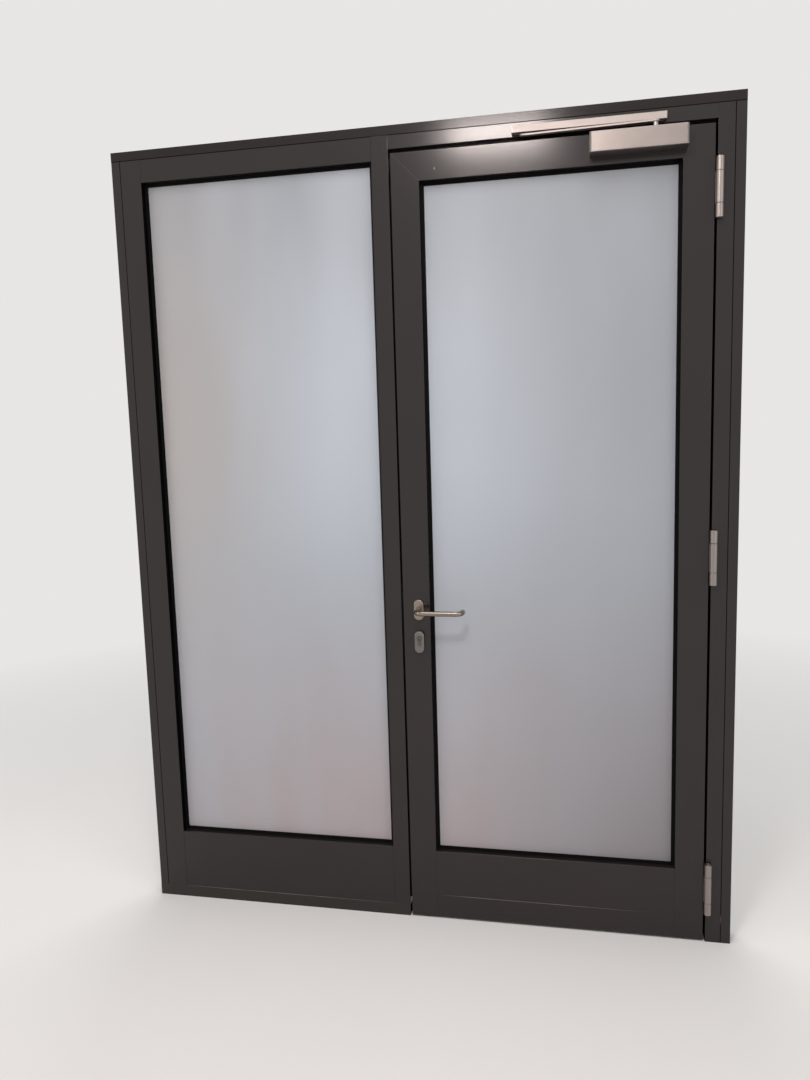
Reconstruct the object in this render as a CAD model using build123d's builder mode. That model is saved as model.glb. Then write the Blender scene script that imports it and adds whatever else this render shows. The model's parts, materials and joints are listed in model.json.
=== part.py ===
from build123d import *
import os

# Glazed entrance door set with a fixed side light on the left and a hinged leaf on the right.
# Sizes are in millimetres. X runs to the right as seen from the pull side, Y runs away from that
# side and Z runs up. The origin is on the floor, at mid width and at the middle of the frame's depth.

# Overall size
set_width = 1907.0
set_height = 2500.0
frame_depth = 70.0

# Faces of the frame members, as seen from the front
extension_side_face = 29.0
extension_head_face = 28.0
jamb_left_face = 70.0
jamb_right_face = 46.0
mullion_face = 52.0
head_glazed_face = 70.0
head_door_face = 40.0
base_height = 40.0
sill_height = 200.0

# Leaf and the gaps round it
leaf_width = 920.0
leaf_face = 85.0
leaf_rail_height = 151.0
leaf_kick_height = 76.0
side_gap = 6.5
top_gap = 12.0
floor_gap = 6.0
back_gap = 6.5

# Extruded sections
wall = 2.0
lip_height = 22.0
lip_depth = 21.0
step_width = 22.0
stop_depth = 22.0
edge_radius = 1.0
cleat_leg = 95.0
cleat_clearance = 0.3

# Glass, gaskets, beads and setting blocks
pane_thickness = 6.0
pane_cavity = 14.0
edge_cover = 14.0
spacer_height = 8.0
spacer_inset = 5.0
gasket_front_thickness = 4.0
gasket_back_thickness = 3.0
gasket_flap_thickness = 1.5
gasket_flap_sight = 10.5
gasket_heel_sight = 3.0
gasket_back_sight = 4.0
gasket_bite = 6.0
bead_wall = 1.5
block_length = 100.0

# Seals of the leaf
seal_width = 6.0
seal_height = 4.7
seal_clearance = 0.3
seal_bearing = 8.0
seal_foot_width = 2.6
seal_foot_depth = 2.5
groove_width = 3.0
groove_depth = 3.0
sweep_thickness = 6.0
sweep_floor_gap = 1.5
sweep_groove_depth = 8.0

# Hinges
hinge_from_end = 173.5
hinge_middle_drop = 3.0
hinge_axis_inset = 5.0
hinge_axis_front = 13.0
barrel_radius = 11.0
barrel_edge = 0.8
pin_radius = 6.0
end_knuckle = 37.2
middle_knuckle = 84.8
knuckle_gap = 1.4
washer_thickness = 1.1
washer_inset = 1.0
plate_thickness = 2.8
plate_depth = 26.0
plate_inset = 1.0
running_clearance = 0.06

# Lever handles and their roses
lever_height = 1040.0
backset = 50.0
tube_diameter = 16.0
lever_projection = 58.0
lever_reach = 143.0
lever_return = 34.0
lever_bend = 20.0
lever_tip_bevel = 1.2
collar_radius = 9.0
collar_length = 14.0
collar_clearance = 0.3
collar_start = 1.0
rose_width = 31.0
rose_height = 66.0
rose_thickness = 9.0
rose_bevel = 2.0
spindle_side = 8.0
spindle_reach = 32.0
spindle_clearance = 0.05
spindle_hole_radius = 7.0

# Lock, its cylinder and the strike
lock_centre_y = -10.0
cylinder_drop = 92.0
case_thickness = 15.0
case_above_lever = 54.0
case_below_cylinder = 48.0
case_behind_lever = 10.5
case_wall = 1.5
faceplate_length = 245.0
faceplate_width = 24.0
faceplate_thickness = 3.0
faceplate_centre_drop = 40.0
fit_clearance = 0.2
cut_out_clearance = 0.4
latch_rise = 33.0
latch_height = 28.0
latch_throw = 12.0
latch_head = 34.0
latch_bevel = 11.0
latch_nose = 1.2
latch_tail_height = 10.0
latch_lug = 3.2
latch_lug_play = 1.0
bolt_drop = 47.0
bolt_height = 34.0
bolt_length = 45.0
follower_radius = 8.5
follower_nose = 14.0
follower_nose_root = 1.0
follower_nose_width = 6.0
cylinder_radius = 8.5
cylinder_leg = 10.0
cylinder_height = 33.0
cylinder_proud = 2.0
plug_radius = 6.5
plug_inset = 0.3
keyway_width = 2.2
keyway_height = 8.0
keyway_depth = 28.0
cam_width = 9.6
cam_play = 0.2
cam_hub_radius = 7.5
cam_reach = 15.0
cam_tooth_width = 7.0
cam_clearance = 1.0
cylinder_rose_width = 31.5
cylinder_rose_height = 71.0
cylinder_rose_thickness = 11.0
cylinder_rose_centre_drop = 103.4
strike_play = 1.5
strike_thickness = 2.5
screw_radius = 2.4
screw_head_radius = 4.4
screw_length = 14.0
screw_edge = 11.0

# Door closer
closer_length = 266.0
closer_height = 55.0
closer_depth = 52.0
closer_drop = 7.0
closer_from_hinge = 86.0
closer_cap = 6.0
closer_bevel = 5.0
closer_edge_radius = 2.0
shaft_from_hinge = 173.0
shaft_depth = 26.0
shaft_radius = 7.0
shaft_seat = 12.0
shaft_square = 9.0
arm_rise = 16.0
arm_thickness = 5.0
arm_width = 18.0
arm_head_radius = 11.0
arm_tip_radius = 9.0
arm_tip_width = 14.0

# Slide rail of the closer
rail_length = 428.0
rail_height = 20.0
rail_depth = 23.0
rail_rise = 5.0
rail_from_hinge = 142.5
rail_wall = 2.5
rail_slot = 10.0
rail_cap = 7.0
rail_spigot = 4.0
slider_length = 36.0
slider_from_rail_end = 31.5
slider_play = 0.3
slider_pin_radius = 4.0
pivot_clearance = 0.4

# Fixing holes in the side profiles
fixing_radius = 5.25
fixing_from_end = 250.0

# Levels through the depth
front_y = -frame_depth / 2
back_y = frame_depth / 2
lip_y = front_y + lip_depth
glass_front_y = lip_y + gasket_front_thickness
glass_back_y = glass_front_y + 2 * pane_thickness + pane_cavity
bead_y = glass_back_y + gasket_back_thickness
stop_y = back_y - stop_depth
step_y = stop_y - seal_height - seal_clearance

# Edges across the width
left_x = -set_width / 2
right_x = set_width / 2
frame_left_x = left_x + extension_side_face
frame_right_x = right_x - extension_side_face
door_right_x = frame_right_x - jamb_right_face
leaf_right_x = door_right_x - side_gap
leaf_left_x = leaf_right_x - leaf_width
door_left_x = leaf_left_x - side_gap
mullion_left_x = door_left_x - mullion_face

# Levels up the height
frame_top_z = set_height - extension_head_face
door_top_z = frame_top_z - head_door_face
leaf_top_z = door_top_z - top_gap
leaf_bottom_z = floor_gap
kick_top_z = leaf_bottom_z + leaf_kick_height
fixing_heights = (fixing_from_end, set_height / 2, set_height - fixing_from_end)

# Glazed openings: left, right, bottom and top edges
side_opening = (
    frame_left_x + jamb_left_face,
    mullion_left_x,
    base_height + sill_height,
    frame_top_z - head_glazed_face,
)
leaf_opening = (
    leaf_left_x + leaf_face,
    leaf_right_x - leaf_face,
    kick_top_z + leaf_rail_height,
    leaf_top_z - leaf_face,
)

# The stops stand behind the leaf's step and keep the back gap from its body
side_stop = step_width + side_gap - back_gap
head_stop = step_width + top_gap - back_gap
side_seal = side_gap + seal_bearing
head_seal = top_gap + seal_bearing

# Hinge axis and the plates between the leaf and the jamb
hinge_x = door_right_x + hinge_axis_inset
hinge_y = front_y - hinge_axis_front
hinge_length = middle_knuckle + 2 * (knuckle_gap + end_knuckle)
hinge_bottom_z = leaf_bottom_z + hinge_from_end
hinge_top_z = leaf_top_z - hinge_from_end
hinge_middle_z = (hinge_bottom_z + hinge_top_z) / 2 - hinge_middle_drop
hinge_heights = (hinge_bottom_z, hinge_middle_z, hinge_top_z)
plate_front_y = front_y + plate_inset
plate_back_y = plate_front_y + plate_depth

# Lock, lever and cylinder
lever_x = leaf_left_x + backset
cylinder_z = lever_height - cylinder_drop
cylinder_foot_z = cylinder_z + cylinder_radius - cylinder_height
cylinder_front_y = front_y - cylinder_rose_thickness - cylinder_proud
cylinder_back_y = back_y + cylinder_rose_thickness + cylinder_proud
cylinder_rose_z = lever_height - cylinder_rose_centre_drop
faceplate_z = lever_height - faceplate_centre_drop
latch_z = lever_height + latch_rise
bolt_z = lever_height - bolt_drop
bolt_thickness = case_thickness - 2 * (case_wall + fit_clearance)
case_front_x = leaf_left_x + faceplate_thickness
case_back_x = lever_x + case_behind_lever
case_bottom_z = cylinder_z - case_below_cylinder
case_top_z = lever_height + case_above_lever

# Closer, its arm and its slide rail
closer_right_x = hinge_x - closer_from_hinge
closer_left_x = closer_right_x - closer_length
closer_top_z = leaf_top_z - closer_drop
closer_bottom_z = closer_top_z - closer_height
closer_front_y = front_y - closer_depth
shaft_x = hinge_x - shaft_from_hinge
shaft_y = front_y - shaft_depth
arm_bottom_z = closer_top_z + arm_rise
arm_top_z = arm_bottom_z + arm_thickness
rail_right_x = hinge_x - rail_from_hinge
rail_left_x = rail_right_x - rail_length
rail_bottom_z = door_top_z + rail_rise
rail_top_z = rail_bottom_z + rail_height
rail_front_y = front_y - rail_depth
rail_centre_y = front_y - rail_depth / 2
slider_x = rail_left_x + slider_from_rail_end


def save(piece, name):
    """Label a finished piece and write it under its own name."""
    piece.part.label = name
    export_step(piece.part, f"parts/{name}.step")


def upright(y):
    """Plane parallel to the glass at depth y. What is extruded from it comes to the front."""
    return Plane.XZ.offset(-y)


def block(x, y, z, mode=Mode.ADD):
    """Box between the two values given for each axis."""
    low = Vector(x[0], y[0], z[0])
    size = Vector(x[1], y[1], z[1]) - low
    with Locations(low):
        Box(size.X, size.Y, size.Z, align=(Align.MIN, Align.MIN, Align.MIN), mode=mode)


def upright_bar(radius, height, at, mode=Mode.ADD):
    """Round bar along Z that starts at a point."""
    with Locations(at):
        Cylinder(radius, height, align=(Align.CENTER, Align.CENTER, Align.MIN), mode=mode)


def area(corners, mode=Mode.ADD):
    """Flat area with straight edges, in the sketch's own axes."""
    Polygon(*corners, align=None, mode=mode)


def panel(u, v, mode=Mode.ADD):
    """Rectangle between two values on each of the sketch's own axes."""
    area([(u[0], v[0]), (u[1], v[0]), (u[1], v[1]), (u[0], v[1])], mode)


def frame_ring(opening, outside, inside):
    """Ring round an opening, from outside it by one amount to inside it by another."""
    x0, x1, z0, z1 = opening
    panel((x0 - outside, x1 + outside), (z0 - outside, z1 + outside))
    panel((x0 + inside, x1 - inside), (z0 + inside, z1 - inside), Mode.SUBTRACT)


# Sections of the extrusions. Each is drawn in u, the distance from the member's outer edge
# towards its opening, and y, the depth. The function at() turns them into the sketch's own axes.
def rightwards(x):
    """Section laid out to the right of an upright edge."""
    return lambda u, y: (x + u, y)


def leftwards(x):
    """Section laid out to the left of an upright edge."""
    return lambda u, y: (x - u, y)


def upwards(z):
    """Section laid out above a level edge."""
    return lambda u, y: (y, z + u)


def downwards(z):
    """Section laid out below a level edge."""
    return lambda u, y: (y, z - u)


def glazed_section(at, face, step=0.0, ribs=()):
    """Member that holds glass: a body as deep as the frame, and a lip on the front."""
    body = face - lip_height
    outer = [(0, front_y), (face, front_y), (face, lip_y), (body, lip_y), (body, back_y)]
    outer += [(step, back_y), (step, step_y), (0, step_y)] if step else [(0, back_y)]
    front_chamber = [
        (wall, front_y + wall),
        (face - wall, front_y + wall),
        (face - wall, lip_y - wall),
        (body - wall, lip_y - wall),
        (body - wall, step_y - wall),
        (wall, step_y - wall),
    ]
    area([at(u, y) for u, y in outer])
    area([at(u, y) for u, y in front_chamber], Mode.SUBTRACT)
    panel(*zip(at(step + wall, step_y), at(body - wall, back_y - wall)), Mode.SUBTRACT)
    for rib in ribs:
        panel(*zip(at(rib - wall / 2, front_y), at(rib + wall / 2, back_y)))


def stop_details(at, face, stop, seal_centre, start):
    """Chamber behind the web, which reaches into the stop, and the groove for the seal's foot."""
    ledge = stop_y + groove_depth + wall
    back_chamber = [
        (start, step_y),
        (face - wall, step_y),
        (face - wall, ledge),
        (face + stop - wall, ledge),
        (face + stop - wall, back_y - wall),
        (start, back_y - wall),
    ]
    area([at(u, y) for u, y in back_chamber], Mode.SUBTRACT)
    groove = face + seal_centre
    half = groove_width / 2
    panel(*zip(at(groove - half, stop_y), at(groove + half, stop_y + groove_depth)), Mode.SUBTRACT)


def door_section(at, face, stop, seal_centre):
    """Frame member beside the leaf: a body as deep as the frame, and a stop behind the leaf."""
    outer = [(0, front_y), (face, front_y), (face, stop_y), (face + stop, stop_y)]
    outer += [(face + stop, back_y), (0, back_y)]
    area([at(u, y) for u, y in outer])
    panel(*zip(at(wall, front_y + wall), at(face - wall, step_y - wall)), Mode.SUBTRACT)
    stop_details(at, face, stop, seal_centre, wall)


def mullion_section(at):
    """Post between the glass and the leaf: a glazing lip on one side and a stop on the other."""
    inner = lip_height + wall
    outer = [(0, front_y), (mullion_face, front_y), (mullion_face, stop_y)]
    outer += [(mullion_face + side_stop, stop_y), (mullion_face + side_stop, back_y)]
    outer += [(lip_height, back_y), (lip_height, lip_y), (0, lip_y)]
    front_chamber = [
        (wall, front_y + wall),
        (mullion_face - wall, front_y + wall),
        (mullion_face - wall, step_y - wall),
        (inner, step_y - wall),
        (inner, lip_y - wall),
        (wall, lip_y - wall),
    ]
    area([at(u, y) for u, y in outer])
    area([at(u, y) for u, y in front_chamber], Mode.SUBTRACT)
    stop_details(at, mullion_face, side_stop, side_seal, inner)


def tube_section(u, v, thickness=wall):
    """Rectangular tube."""
    panel(u, v)
    t = thickness
    panel((u[0] + t, u[1] - t), (v[0] + t, v[1] - t), Mode.SUBTRACT)


def cope_to_lips(opening, z):
    """Cut a level member's front back to the lips of the uprights at its two ends."""
    x0, x1 = opening[:2]
    block((x0 - lip_height, x0), (front_y, lip_y), z, Mode.SUBTRACT)
    block((x1, x1 + lip_height), (front_y, lip_y), z, Mode.SUBTRACT)


def fixing_holes(low_x, high_x):
    """Holes for the screws that hold a side of the frame to the wall."""
    centre_x = (low_x + high_x) / 2
    with Locations(*[Location((centre_x, 0, z), (0, 90, 0)) for z in fixing_heights]):
        Cylinder(fixing_radius, high_x - low_x, mode=Mode.SUBTRACT)


def lock_hole(z, height, play):
    """The y and z values of the hole that the latch or the bolt passes through."""
    half_depth = bolt_thickness / 2 + play
    half_height = height / 2 + play
    depth = (lock_centre_y - half_depth, lock_centre_y + half_depth)
    return depth, (z - half_height, z + half_height)


def cylinder_outline(grow=0.0):
    """Outline of the lock cylinder as seen from the front: a round barrel on a flat leg."""
    half = cylinder_leg / 2
    with Locations((lever_x, cylinder_z)):
        Circle(cylinder_radius + grow)
    with Locations((lever_x, cylinder_foot_z + half)):
        Circle(half + grow)
    panel((lever_x - half - grow, lever_x + half + grow), (cylinder_foot_z + half, cylinder_z))


def cam_slot():
    """The y and z values of the slot that the cam swings through."""
    half_depth = cam_width / 2 + cam_clearance
    half_height = cam_reach + cam_clearance
    depth = (lock_centre_y - half_depth, lock_centre_y + half_depth)
    return depth, (cylinder_z - half_height, cylinder_z + half_height)


def long_plate_outline(grow=0.0):
    """Outline of the faceplate and the strike, with half round ends."""
    with Locations((lock_centre_y, faceplate_z)):
        SlotOverall(faceplate_length + 2 * grow, faceplate_width + 2 * grow, rotation=90)


def plate_screw_points(x):
    """Places of the two screws that hold the faceplate or the strike."""
    reach = faceplate_length / 2 - screw_edge
    return [(x, lock_centre_y, faceplate_z + side * reach) for side in (-1, 1)]


os.makedirs("parts", exist_ok=True)

# Extension profiles round the frame, and the base below the side light
with BuildPart() as extension_left:
    with BuildSketch(Plane.XY.offset(base_height)) as section:
        tube_section((left_x, frame_left_x), (front_y, back_y))
        fillet(section.vertices().group_by(Axis.Y)[0], edge_radius)
    extrude(amount=frame_top_z - base_height)
    fixing_holes(left_x, frame_left_x)
save(extension_left, "extension_left")

with BuildPart() as extension_right:
    with BuildSketch(Plane.XY) as section:
        tube_section((frame_right_x, right_x), (front_y, back_y))
        fillet(section.vertices().group_by(Axis.Y)[0], edge_radius)
    extrude(amount=frame_top_z)
    fixing_holes(frame_right_x, right_x)
save(extension_right, "extension_right")

with BuildPart() as extension_head:
    with BuildSketch(Plane.YZ.offset(left_x)) as section:
        tube_section((front_y, back_y), (frame_top_z, set_height))
        fillet(section.vertices().group_by(Axis.X)[0], edge_radius)
    extrude(amount=set_width)
save(extension_head, "extension_head")

with BuildPart() as base_profile:
    with BuildSketch(Plane.YZ.offset(left_x)) as section:
        tube_section((front_y, back_y), (0, base_height))
        panel((-wall / 2, wall / 2), (0, base_height))
        fillet(section.vertices().group_by(Axis.X)[0], edge_radius)
    extrude(amount=door_left_x - left_x)
save(base_profile, "base_profile")

# Frame members. The uprights run through, and the level ones are coped to them.
with BuildPart() as jamb_left:
    with BuildSketch(Plane.XY.offset(base_height)) as section:
        glazed_section(rightwards(frame_left_x), jamb_left_face)
        fillet(section.vertices().group_by(Axis.Y)[0], edge_radius)
    extrude(amount=frame_top_z - base_height)
    fixing_holes(frame_left_x, frame_left_x + jamb_left_face)
save(jamb_left, "jamb_left")

with BuildPart() as jamb_right:
    with BuildSketch(Plane.XY) as section:
        door_section(leftwards(frame_right_x), jamb_right_face, side_stop, side_seal)
        fillet(section.vertices().group_by(Axis.Y)[0], edge_radius)
    extrude(amount=frame_top_z)
    fixing_holes(door_right_x, frame_right_x)
save(jamb_right, "jamb_right")

with BuildPart() as mullion:
    with BuildSketch(Plane.XY.offset(base_height)) as section:
        mullion_section(rightwards(mullion_left_x))
        fillet(section.vertices().group_by(Axis.Y)[0], edge_radius)
    extrude(amount=frame_top_z - base_height)
    for hole_z, hole_height in ((latch_z, latch_height), (bolt_z, bolt_height)):
        hole = lock_hole(hole_z, hole_height, strike_play)
        block((door_left_x - wall, door_left_x), *hole, Mode.SUBTRACT)
    with Locations(*[Location(p, (0, 90, 0)) for p in plate_screw_points(door_left_x)]):
        Cylinder(screw_radius, 2 * wall, mode=Mode.SUBTRACT)
save(mullion, "mullion")

side_start_x = side_opening[0] - lip_height
side_run = side_opening[1] + lip_height - side_start_x
with BuildPart() as head_side_light:
    with BuildSketch(Plane.YZ.offset(side_start_x)) as section:
        glazed_section(downwards(frame_top_z), head_glazed_face)
        fillet(section.vertices().group_by(Axis.X)[0], edge_radius)
    extrude(amount=side_run)
    cope_to_lips(side_opening, (side_opening[3], frame_top_z))
save(head_side_light, "head_side_light")

with BuildPart() as side_light_sill:
    with BuildSketch(Plane.YZ.offset(side_start_x)) as section:
        sill_ribs = (sill_height / 3, 2 * sill_height / 3)
        glazed_section(upwards(base_height), sill_height, ribs=sill_ribs)
        fillet(section.vertices().group_by(Axis.X)[0], edge_radius)
    extrude(amount=side_run)
    cope_to_lips(side_opening, (base_height, side_opening[2]))
save(side_light_sill, "side_light_sill")

with BuildPart() as head_door:
    with BuildSketch(Plane.YZ.offset(door_left_x)) as section:
        door_section(downwards(frame_top_z), head_door_face, head_stop, head_seal)
        fillet(section.vertices().group_by(Axis.X)[0], edge_radius)
    extrude(amount=door_right_x - door_left_x)
    cope_z = (door_top_z - head_stop, frame_top_z)
    block((door_left_x, door_left_x + side_stop), (stop_y, back_y), cope_z, Mode.SUBTRACT)
    block((door_right_x - side_stop, door_right_x), (stop_y, back_y), cope_z, Mode.SUBTRACT)
save(head_door, "head_door")

# Leaf frame, with its two top corners mitred
lock_mitre = Plane(origin=(leaf_left_x, 0, leaf_top_z), z_dir=(1, 0, 1))
hinge_mitre = Plane(origin=(leaf_right_x, 0, leaf_top_z), z_dir=(-1, 0, 1))

with BuildPart() as leaf_stile_lock:
    with BuildSketch(Plane.XY.offset(leaf_bottom_z)) as section:
        glazed_section(rightwards(leaf_left_x), leaf_face, step_width)
        fillet(section.vertices().group_by(Axis.Y)[0], edge_radius)
    extrude(amount=leaf_top_z - leaf_bottom_z)
    split(bisect_by=lock_mitre, keep=Keep.BOTTOM)
    with BuildSketch(Plane.YZ.offset(leaf_left_x)):
        long_plate_outline(fit_clearance)
    extrude(amount=faceplate_thickness, mode=Mode.SUBTRACT)
    with BuildSketch(upright(back_y)):
        with Locations((lever_x, lever_height)):
            Circle(spindle_hole_radius)
        cylinder_outline(cut_out_clearance)
    extrude(amount=frame_depth, mode=Mode.SUBTRACT)
    block((case_back_x, lever_x + cam_reach + cam_clearance), *cam_slot(), Mode.SUBTRACT)
save(leaf_stile_lock, "leaf_stile_lock")

with BuildPart() as leaf_stile_hinge:
    with BuildSketch(Plane.XY.offset(leaf_bottom_z)) as section:
        glazed_section(leftwards(leaf_right_x), leaf_face, step_width)
        fillet(section.vertices().group_by(Axis.Y)[0], edge_radius)
    extrude(amount=leaf_top_z - leaf_bottom_z)
    split(bisect_by=hinge_mitre, keep=Keep.BOTTOM)
save(leaf_stile_hinge, "leaf_stile_hinge")

with BuildPart() as leaf_rail_top:
    with BuildSketch(Plane.YZ.offset(leaf_left_x)) as section:
        glazed_section(downwards(leaf_top_z), leaf_face, step_width)
        fillet(section.vertices().group_by(Axis.X)[0], edge_radius)
    extrude(amount=leaf_width)
    split(bisect_by=lock_mitre, keep=Keep.TOP)
    split(bisect_by=hinge_mitre, keep=Keep.TOP)
save(leaf_rail_top, "leaf_rail_top")

rail_start_x = leaf_opening[0] - lip_height
rail_run = leaf_opening[1] + lip_height - rail_start_x
with BuildPart() as leaf_rail_bottom:
    with BuildSketch(Plane.YZ.offset(rail_start_x)) as section:
        glazed_section(upwards(kick_top_z), leaf_rail_height, ribs=(leaf_rail_height / 2,))
        fillet(section.vertices().group_by(Axis.X)[0], edge_radius)
    extrude(amount=rail_run)
    cope_to_lips(leaf_opening, (kick_top_z, leaf_opening[2]))
save(leaf_rail_bottom, "leaf_rail_bottom")

sweep_half = sweep_thickness / 2
sweep_top_z = leaf_bottom_z + sweep_groove_depth
with BuildPart() as leaf_kick_profile:
    with BuildSketch(Plane.YZ.offset(rail_start_x)) as section:
        tube_section((front_y, back_y), (leaf_bottom_z, kick_top_z))
        panel((-sweep_half - wall, sweep_half + wall), (leaf_bottom_z, sweep_top_z + wall))
        fillet(section.vertices().group_by(Axis.X)[0], edge_radius)
        panel((-sweep_half, sweep_half), (leaf_bottom_z, sweep_top_z), Mode.SUBTRACT)
    extrude(amount=rail_run)
    cope_to_lips(leaf_opening, (leaf_bottom_z, kick_top_z))
save(leaf_kick_profile, "leaf_kick_profile")

# Angle cleats in the back chambers hold the mitred corners together
cleat_outer = step_width + wall + cleat_clearance
cleat_inner = leaf_face - lip_height - wall - cleat_clearance
with BuildPart() as corner_cleats:
    with BuildSketch(upright(back_y - wall - cleat_clearance)):
        for edge_x, way in ((leaf_left_x, 1), (leaf_right_x, -1)):
            near_x = edge_x + way * cleat_outer
            far_x = edge_x + way * cleat_inner
            end_x = near_x + way * cleat_leg
            top_z = leaf_top_z - cleat_outer
            low_z = leaf_top_z - cleat_inner
            foot_z = top_z - cleat_leg
            panel((near_x, far_x), (foot_z, top_z))
            panel((near_x, end_x), (low_z, top_z))
    extrude(amount=back_y - step_y - wall - 2 * cleat_clearance)
save(corner_cleats, "corner_cleats")

# Glass units with their gaskets, beads and setting blocks. Both are made the same way.
spacer_cover = edge_cover - spacer_inset
for unit, opening in (("side_light", side_opening), ("leaf", leaf_opening)):
    x0, x1, z0, z1 = opening
    pane_x = (x0 - edge_cover, x1 + edge_cover)
    pane_z = (z0 - edge_cover, z1 + edge_cover)
    platform_x = (x0 - lip_height, x1 + lip_height)
    platform_z = (z0 - lip_height, z1 + lip_height)

    with BuildPart() as pane_front:
        block(pane_x, (glass_front_y, glass_front_y + pane_thickness), pane_z)
    save(pane_front, f"{unit}_pane_front")

    with BuildPart() as pane_back:
        block(pane_x, (glass_back_y - pane_thickness, glass_back_y), pane_z)
    save(pane_back, f"{unit}_pane_back")

    with BuildPart() as spacer:
        with BuildSketch(upright(glass_back_y - pane_thickness)):
            frame_ring(opening, spacer_cover, spacer_height - spacer_cover)
        extrude(amount=pane_cavity)
    save(spacer, f"{unit}_spacer")

    with BuildPart() as gasket_front:
        for thickness, sight in (
            (gasket_flap_thickness, gasket_flap_sight),
            (gasket_front_thickness, gasket_heel_sight),
        ):
            with BuildSketch(upright(glass_front_y)):
                frame_ring(opening, gasket_bite, sight)
            extrude(amount=thickness)
    save(gasket_front, f"{unit}_gasket_front")

    with BuildPart() as gasket_back:
        with BuildSketch(upright(bead_y)):
            frame_ring(opening, gasket_bite, gasket_back_sight)
        extrude(amount=gasket_back_thickness)
    save(gasket_back, f"{unit}_gasket_back")

    with BuildPart() as beads_upright:
        with BuildSketch(Plane.XY.offset(platform_z[0])) as section:
            for low_x in (platform_x[0], x1):
                tube_section((low_x, low_x + lip_height), (bead_y, back_y), bead_wall)
            fillet(section.vertices().group_by(Axis.Y)[-1], edge_radius)
        extrude(amount=platform_z[1] - platform_z[0])
    save(beads_upright, f"{unit}_beads_upright")

    with BuildPart() as beads_level:
        with BuildSketch(Plane.YZ.offset(x0)) as section:
            for low_z in (platform_z[0], z1):
                tube_section((bead_y, back_y), (low_z, low_z + lip_height), bead_wall)
            fillet(section.vertices().group_by(Axis.X)[-1], edge_radius)
        extrude(amount=x1 - x0)
    save(beads_level, f"{unit}_beads_level")

    with BuildPart() as setting_blocks:
        quarter = (x1 - x0) / 4
        for centre_x in (x0 + quarter, x1 - quarter):
            block_x = (centre_x - block_length / 2, centre_x + block_length / 2)
            block(block_x, (glass_front_y, glass_back_y), (platform_z[0], pane_z[0]))
    save(setting_blocks, f"{unit}_setting_blocks")

# Seals: one strip round the stops, and the sweep under the leaf
seal_left = door_left_x + side_seal
seal_right = door_right_x - side_seal
seal_top = door_top_z - head_seal


def seal_run(half, head_x):
    """Seal as seen from the front: two uprights, and a level run between two x values."""
    panel((seal_left - half, seal_left + half), (base_height, seal_top + half))
    panel((seal_right - half, seal_right + half), (0, seal_top + half))
    panel(head_x, (seal_top - half, seal_top + half))


with BuildPart() as rebate_seal:
    with BuildSketch(upright(stop_y)):
        seal_run(seal_width / 2, (seal_left, seal_right))
    extrude(amount=seal_height)
    with BuildSketch(upright(stop_y + seal_foot_depth)):
        seal_run(seal_foot_width / 2, (door_left_x + side_stop, door_right_x - side_stop))
    extrude(amount=seal_foot_depth)
save(rebate_seal, "rebate_seal")

with BuildPart() as leaf_sweep_seal:
    sweep_x = (rail_start_x, rail_start_x + rail_run)
    block(sweep_x, (-sweep_half, sweep_half), (sweep_floor_gap, sweep_top_z))
save(leaf_sweep_seal, "leaf_sweep_seal")


# Hinges: the leaf carries the middle knuckles, the frame carries the end knuckles
def hinge_wing(plate_x, low, height, knuckles):
    """One half of a hinge: a plate in the gap, with necks out to its knuckles."""
    block(plate_x, (plate_front_y, plate_back_y), (low, low + height))
    for start, length in knuckles:
        block(plate_x, (hinge_y, plate_front_y), (start, start + length))
        upright_bar(barrel_radius, length, (hinge_x, hinge_y, start))
    for start, length in knuckles:
        bore = pin_radius + running_clearance
        upright_bar(bore, length, (hinge_x, hinge_y, start), Mode.SUBTRACT)


with BuildPart() as hinge_leaf_wings:
    for centre_z in hinge_heights:
        low = centre_z - hinge_length / 2
        middle = (centre_z - middle_knuckle / 2, middle_knuckle)
        hinge_wing((leaf_right_x, leaf_right_x + plate_thickness), low, hinge_length, [middle])
save(hinge_leaf_wings, "hinge_leaf_wings")

with BuildPart() as hinge_frame_wings:
    for centre_z in hinge_heights:
        low = centre_z - hinge_length / 2
        ends = [(low, end_knuckle), (low + hinge_length - end_knuckle, end_knuckle)]
        hinge_wing((door_right_x - plate_thickness, door_right_x), low, hinge_length, ends)
save(hinge_frame_wings, "hinge_frame_wings")

with BuildPart() as hinge_pins:
    for centre_z in hinge_heights:
        upright_bar(pin_radius, hinge_length, (hinge_x, hinge_y, centre_z - hinge_length / 2))
    chamfer(hinge_pins.edges().filter_by(GeomType.CIRCLE), barrel_edge)
save(hinge_pins, "hinge_pins")

with BuildPart() as hinge_washers:
    for centre_z in hinge_heights:
        for side in (-1, 1):
            washer_z = centre_z + side * (middle_knuckle + knuckle_gap) / 2 - washer_thickness / 2
            at = (hinge_x, hinge_y, washer_z)
            upright_bar(barrel_radius - washer_inset, washer_thickness, at)
            upright_bar(pin_radius + running_clearance, washer_thickness, at, Mode.SUBTRACT)
save(hinge_washers, "hinge_washers")

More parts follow.
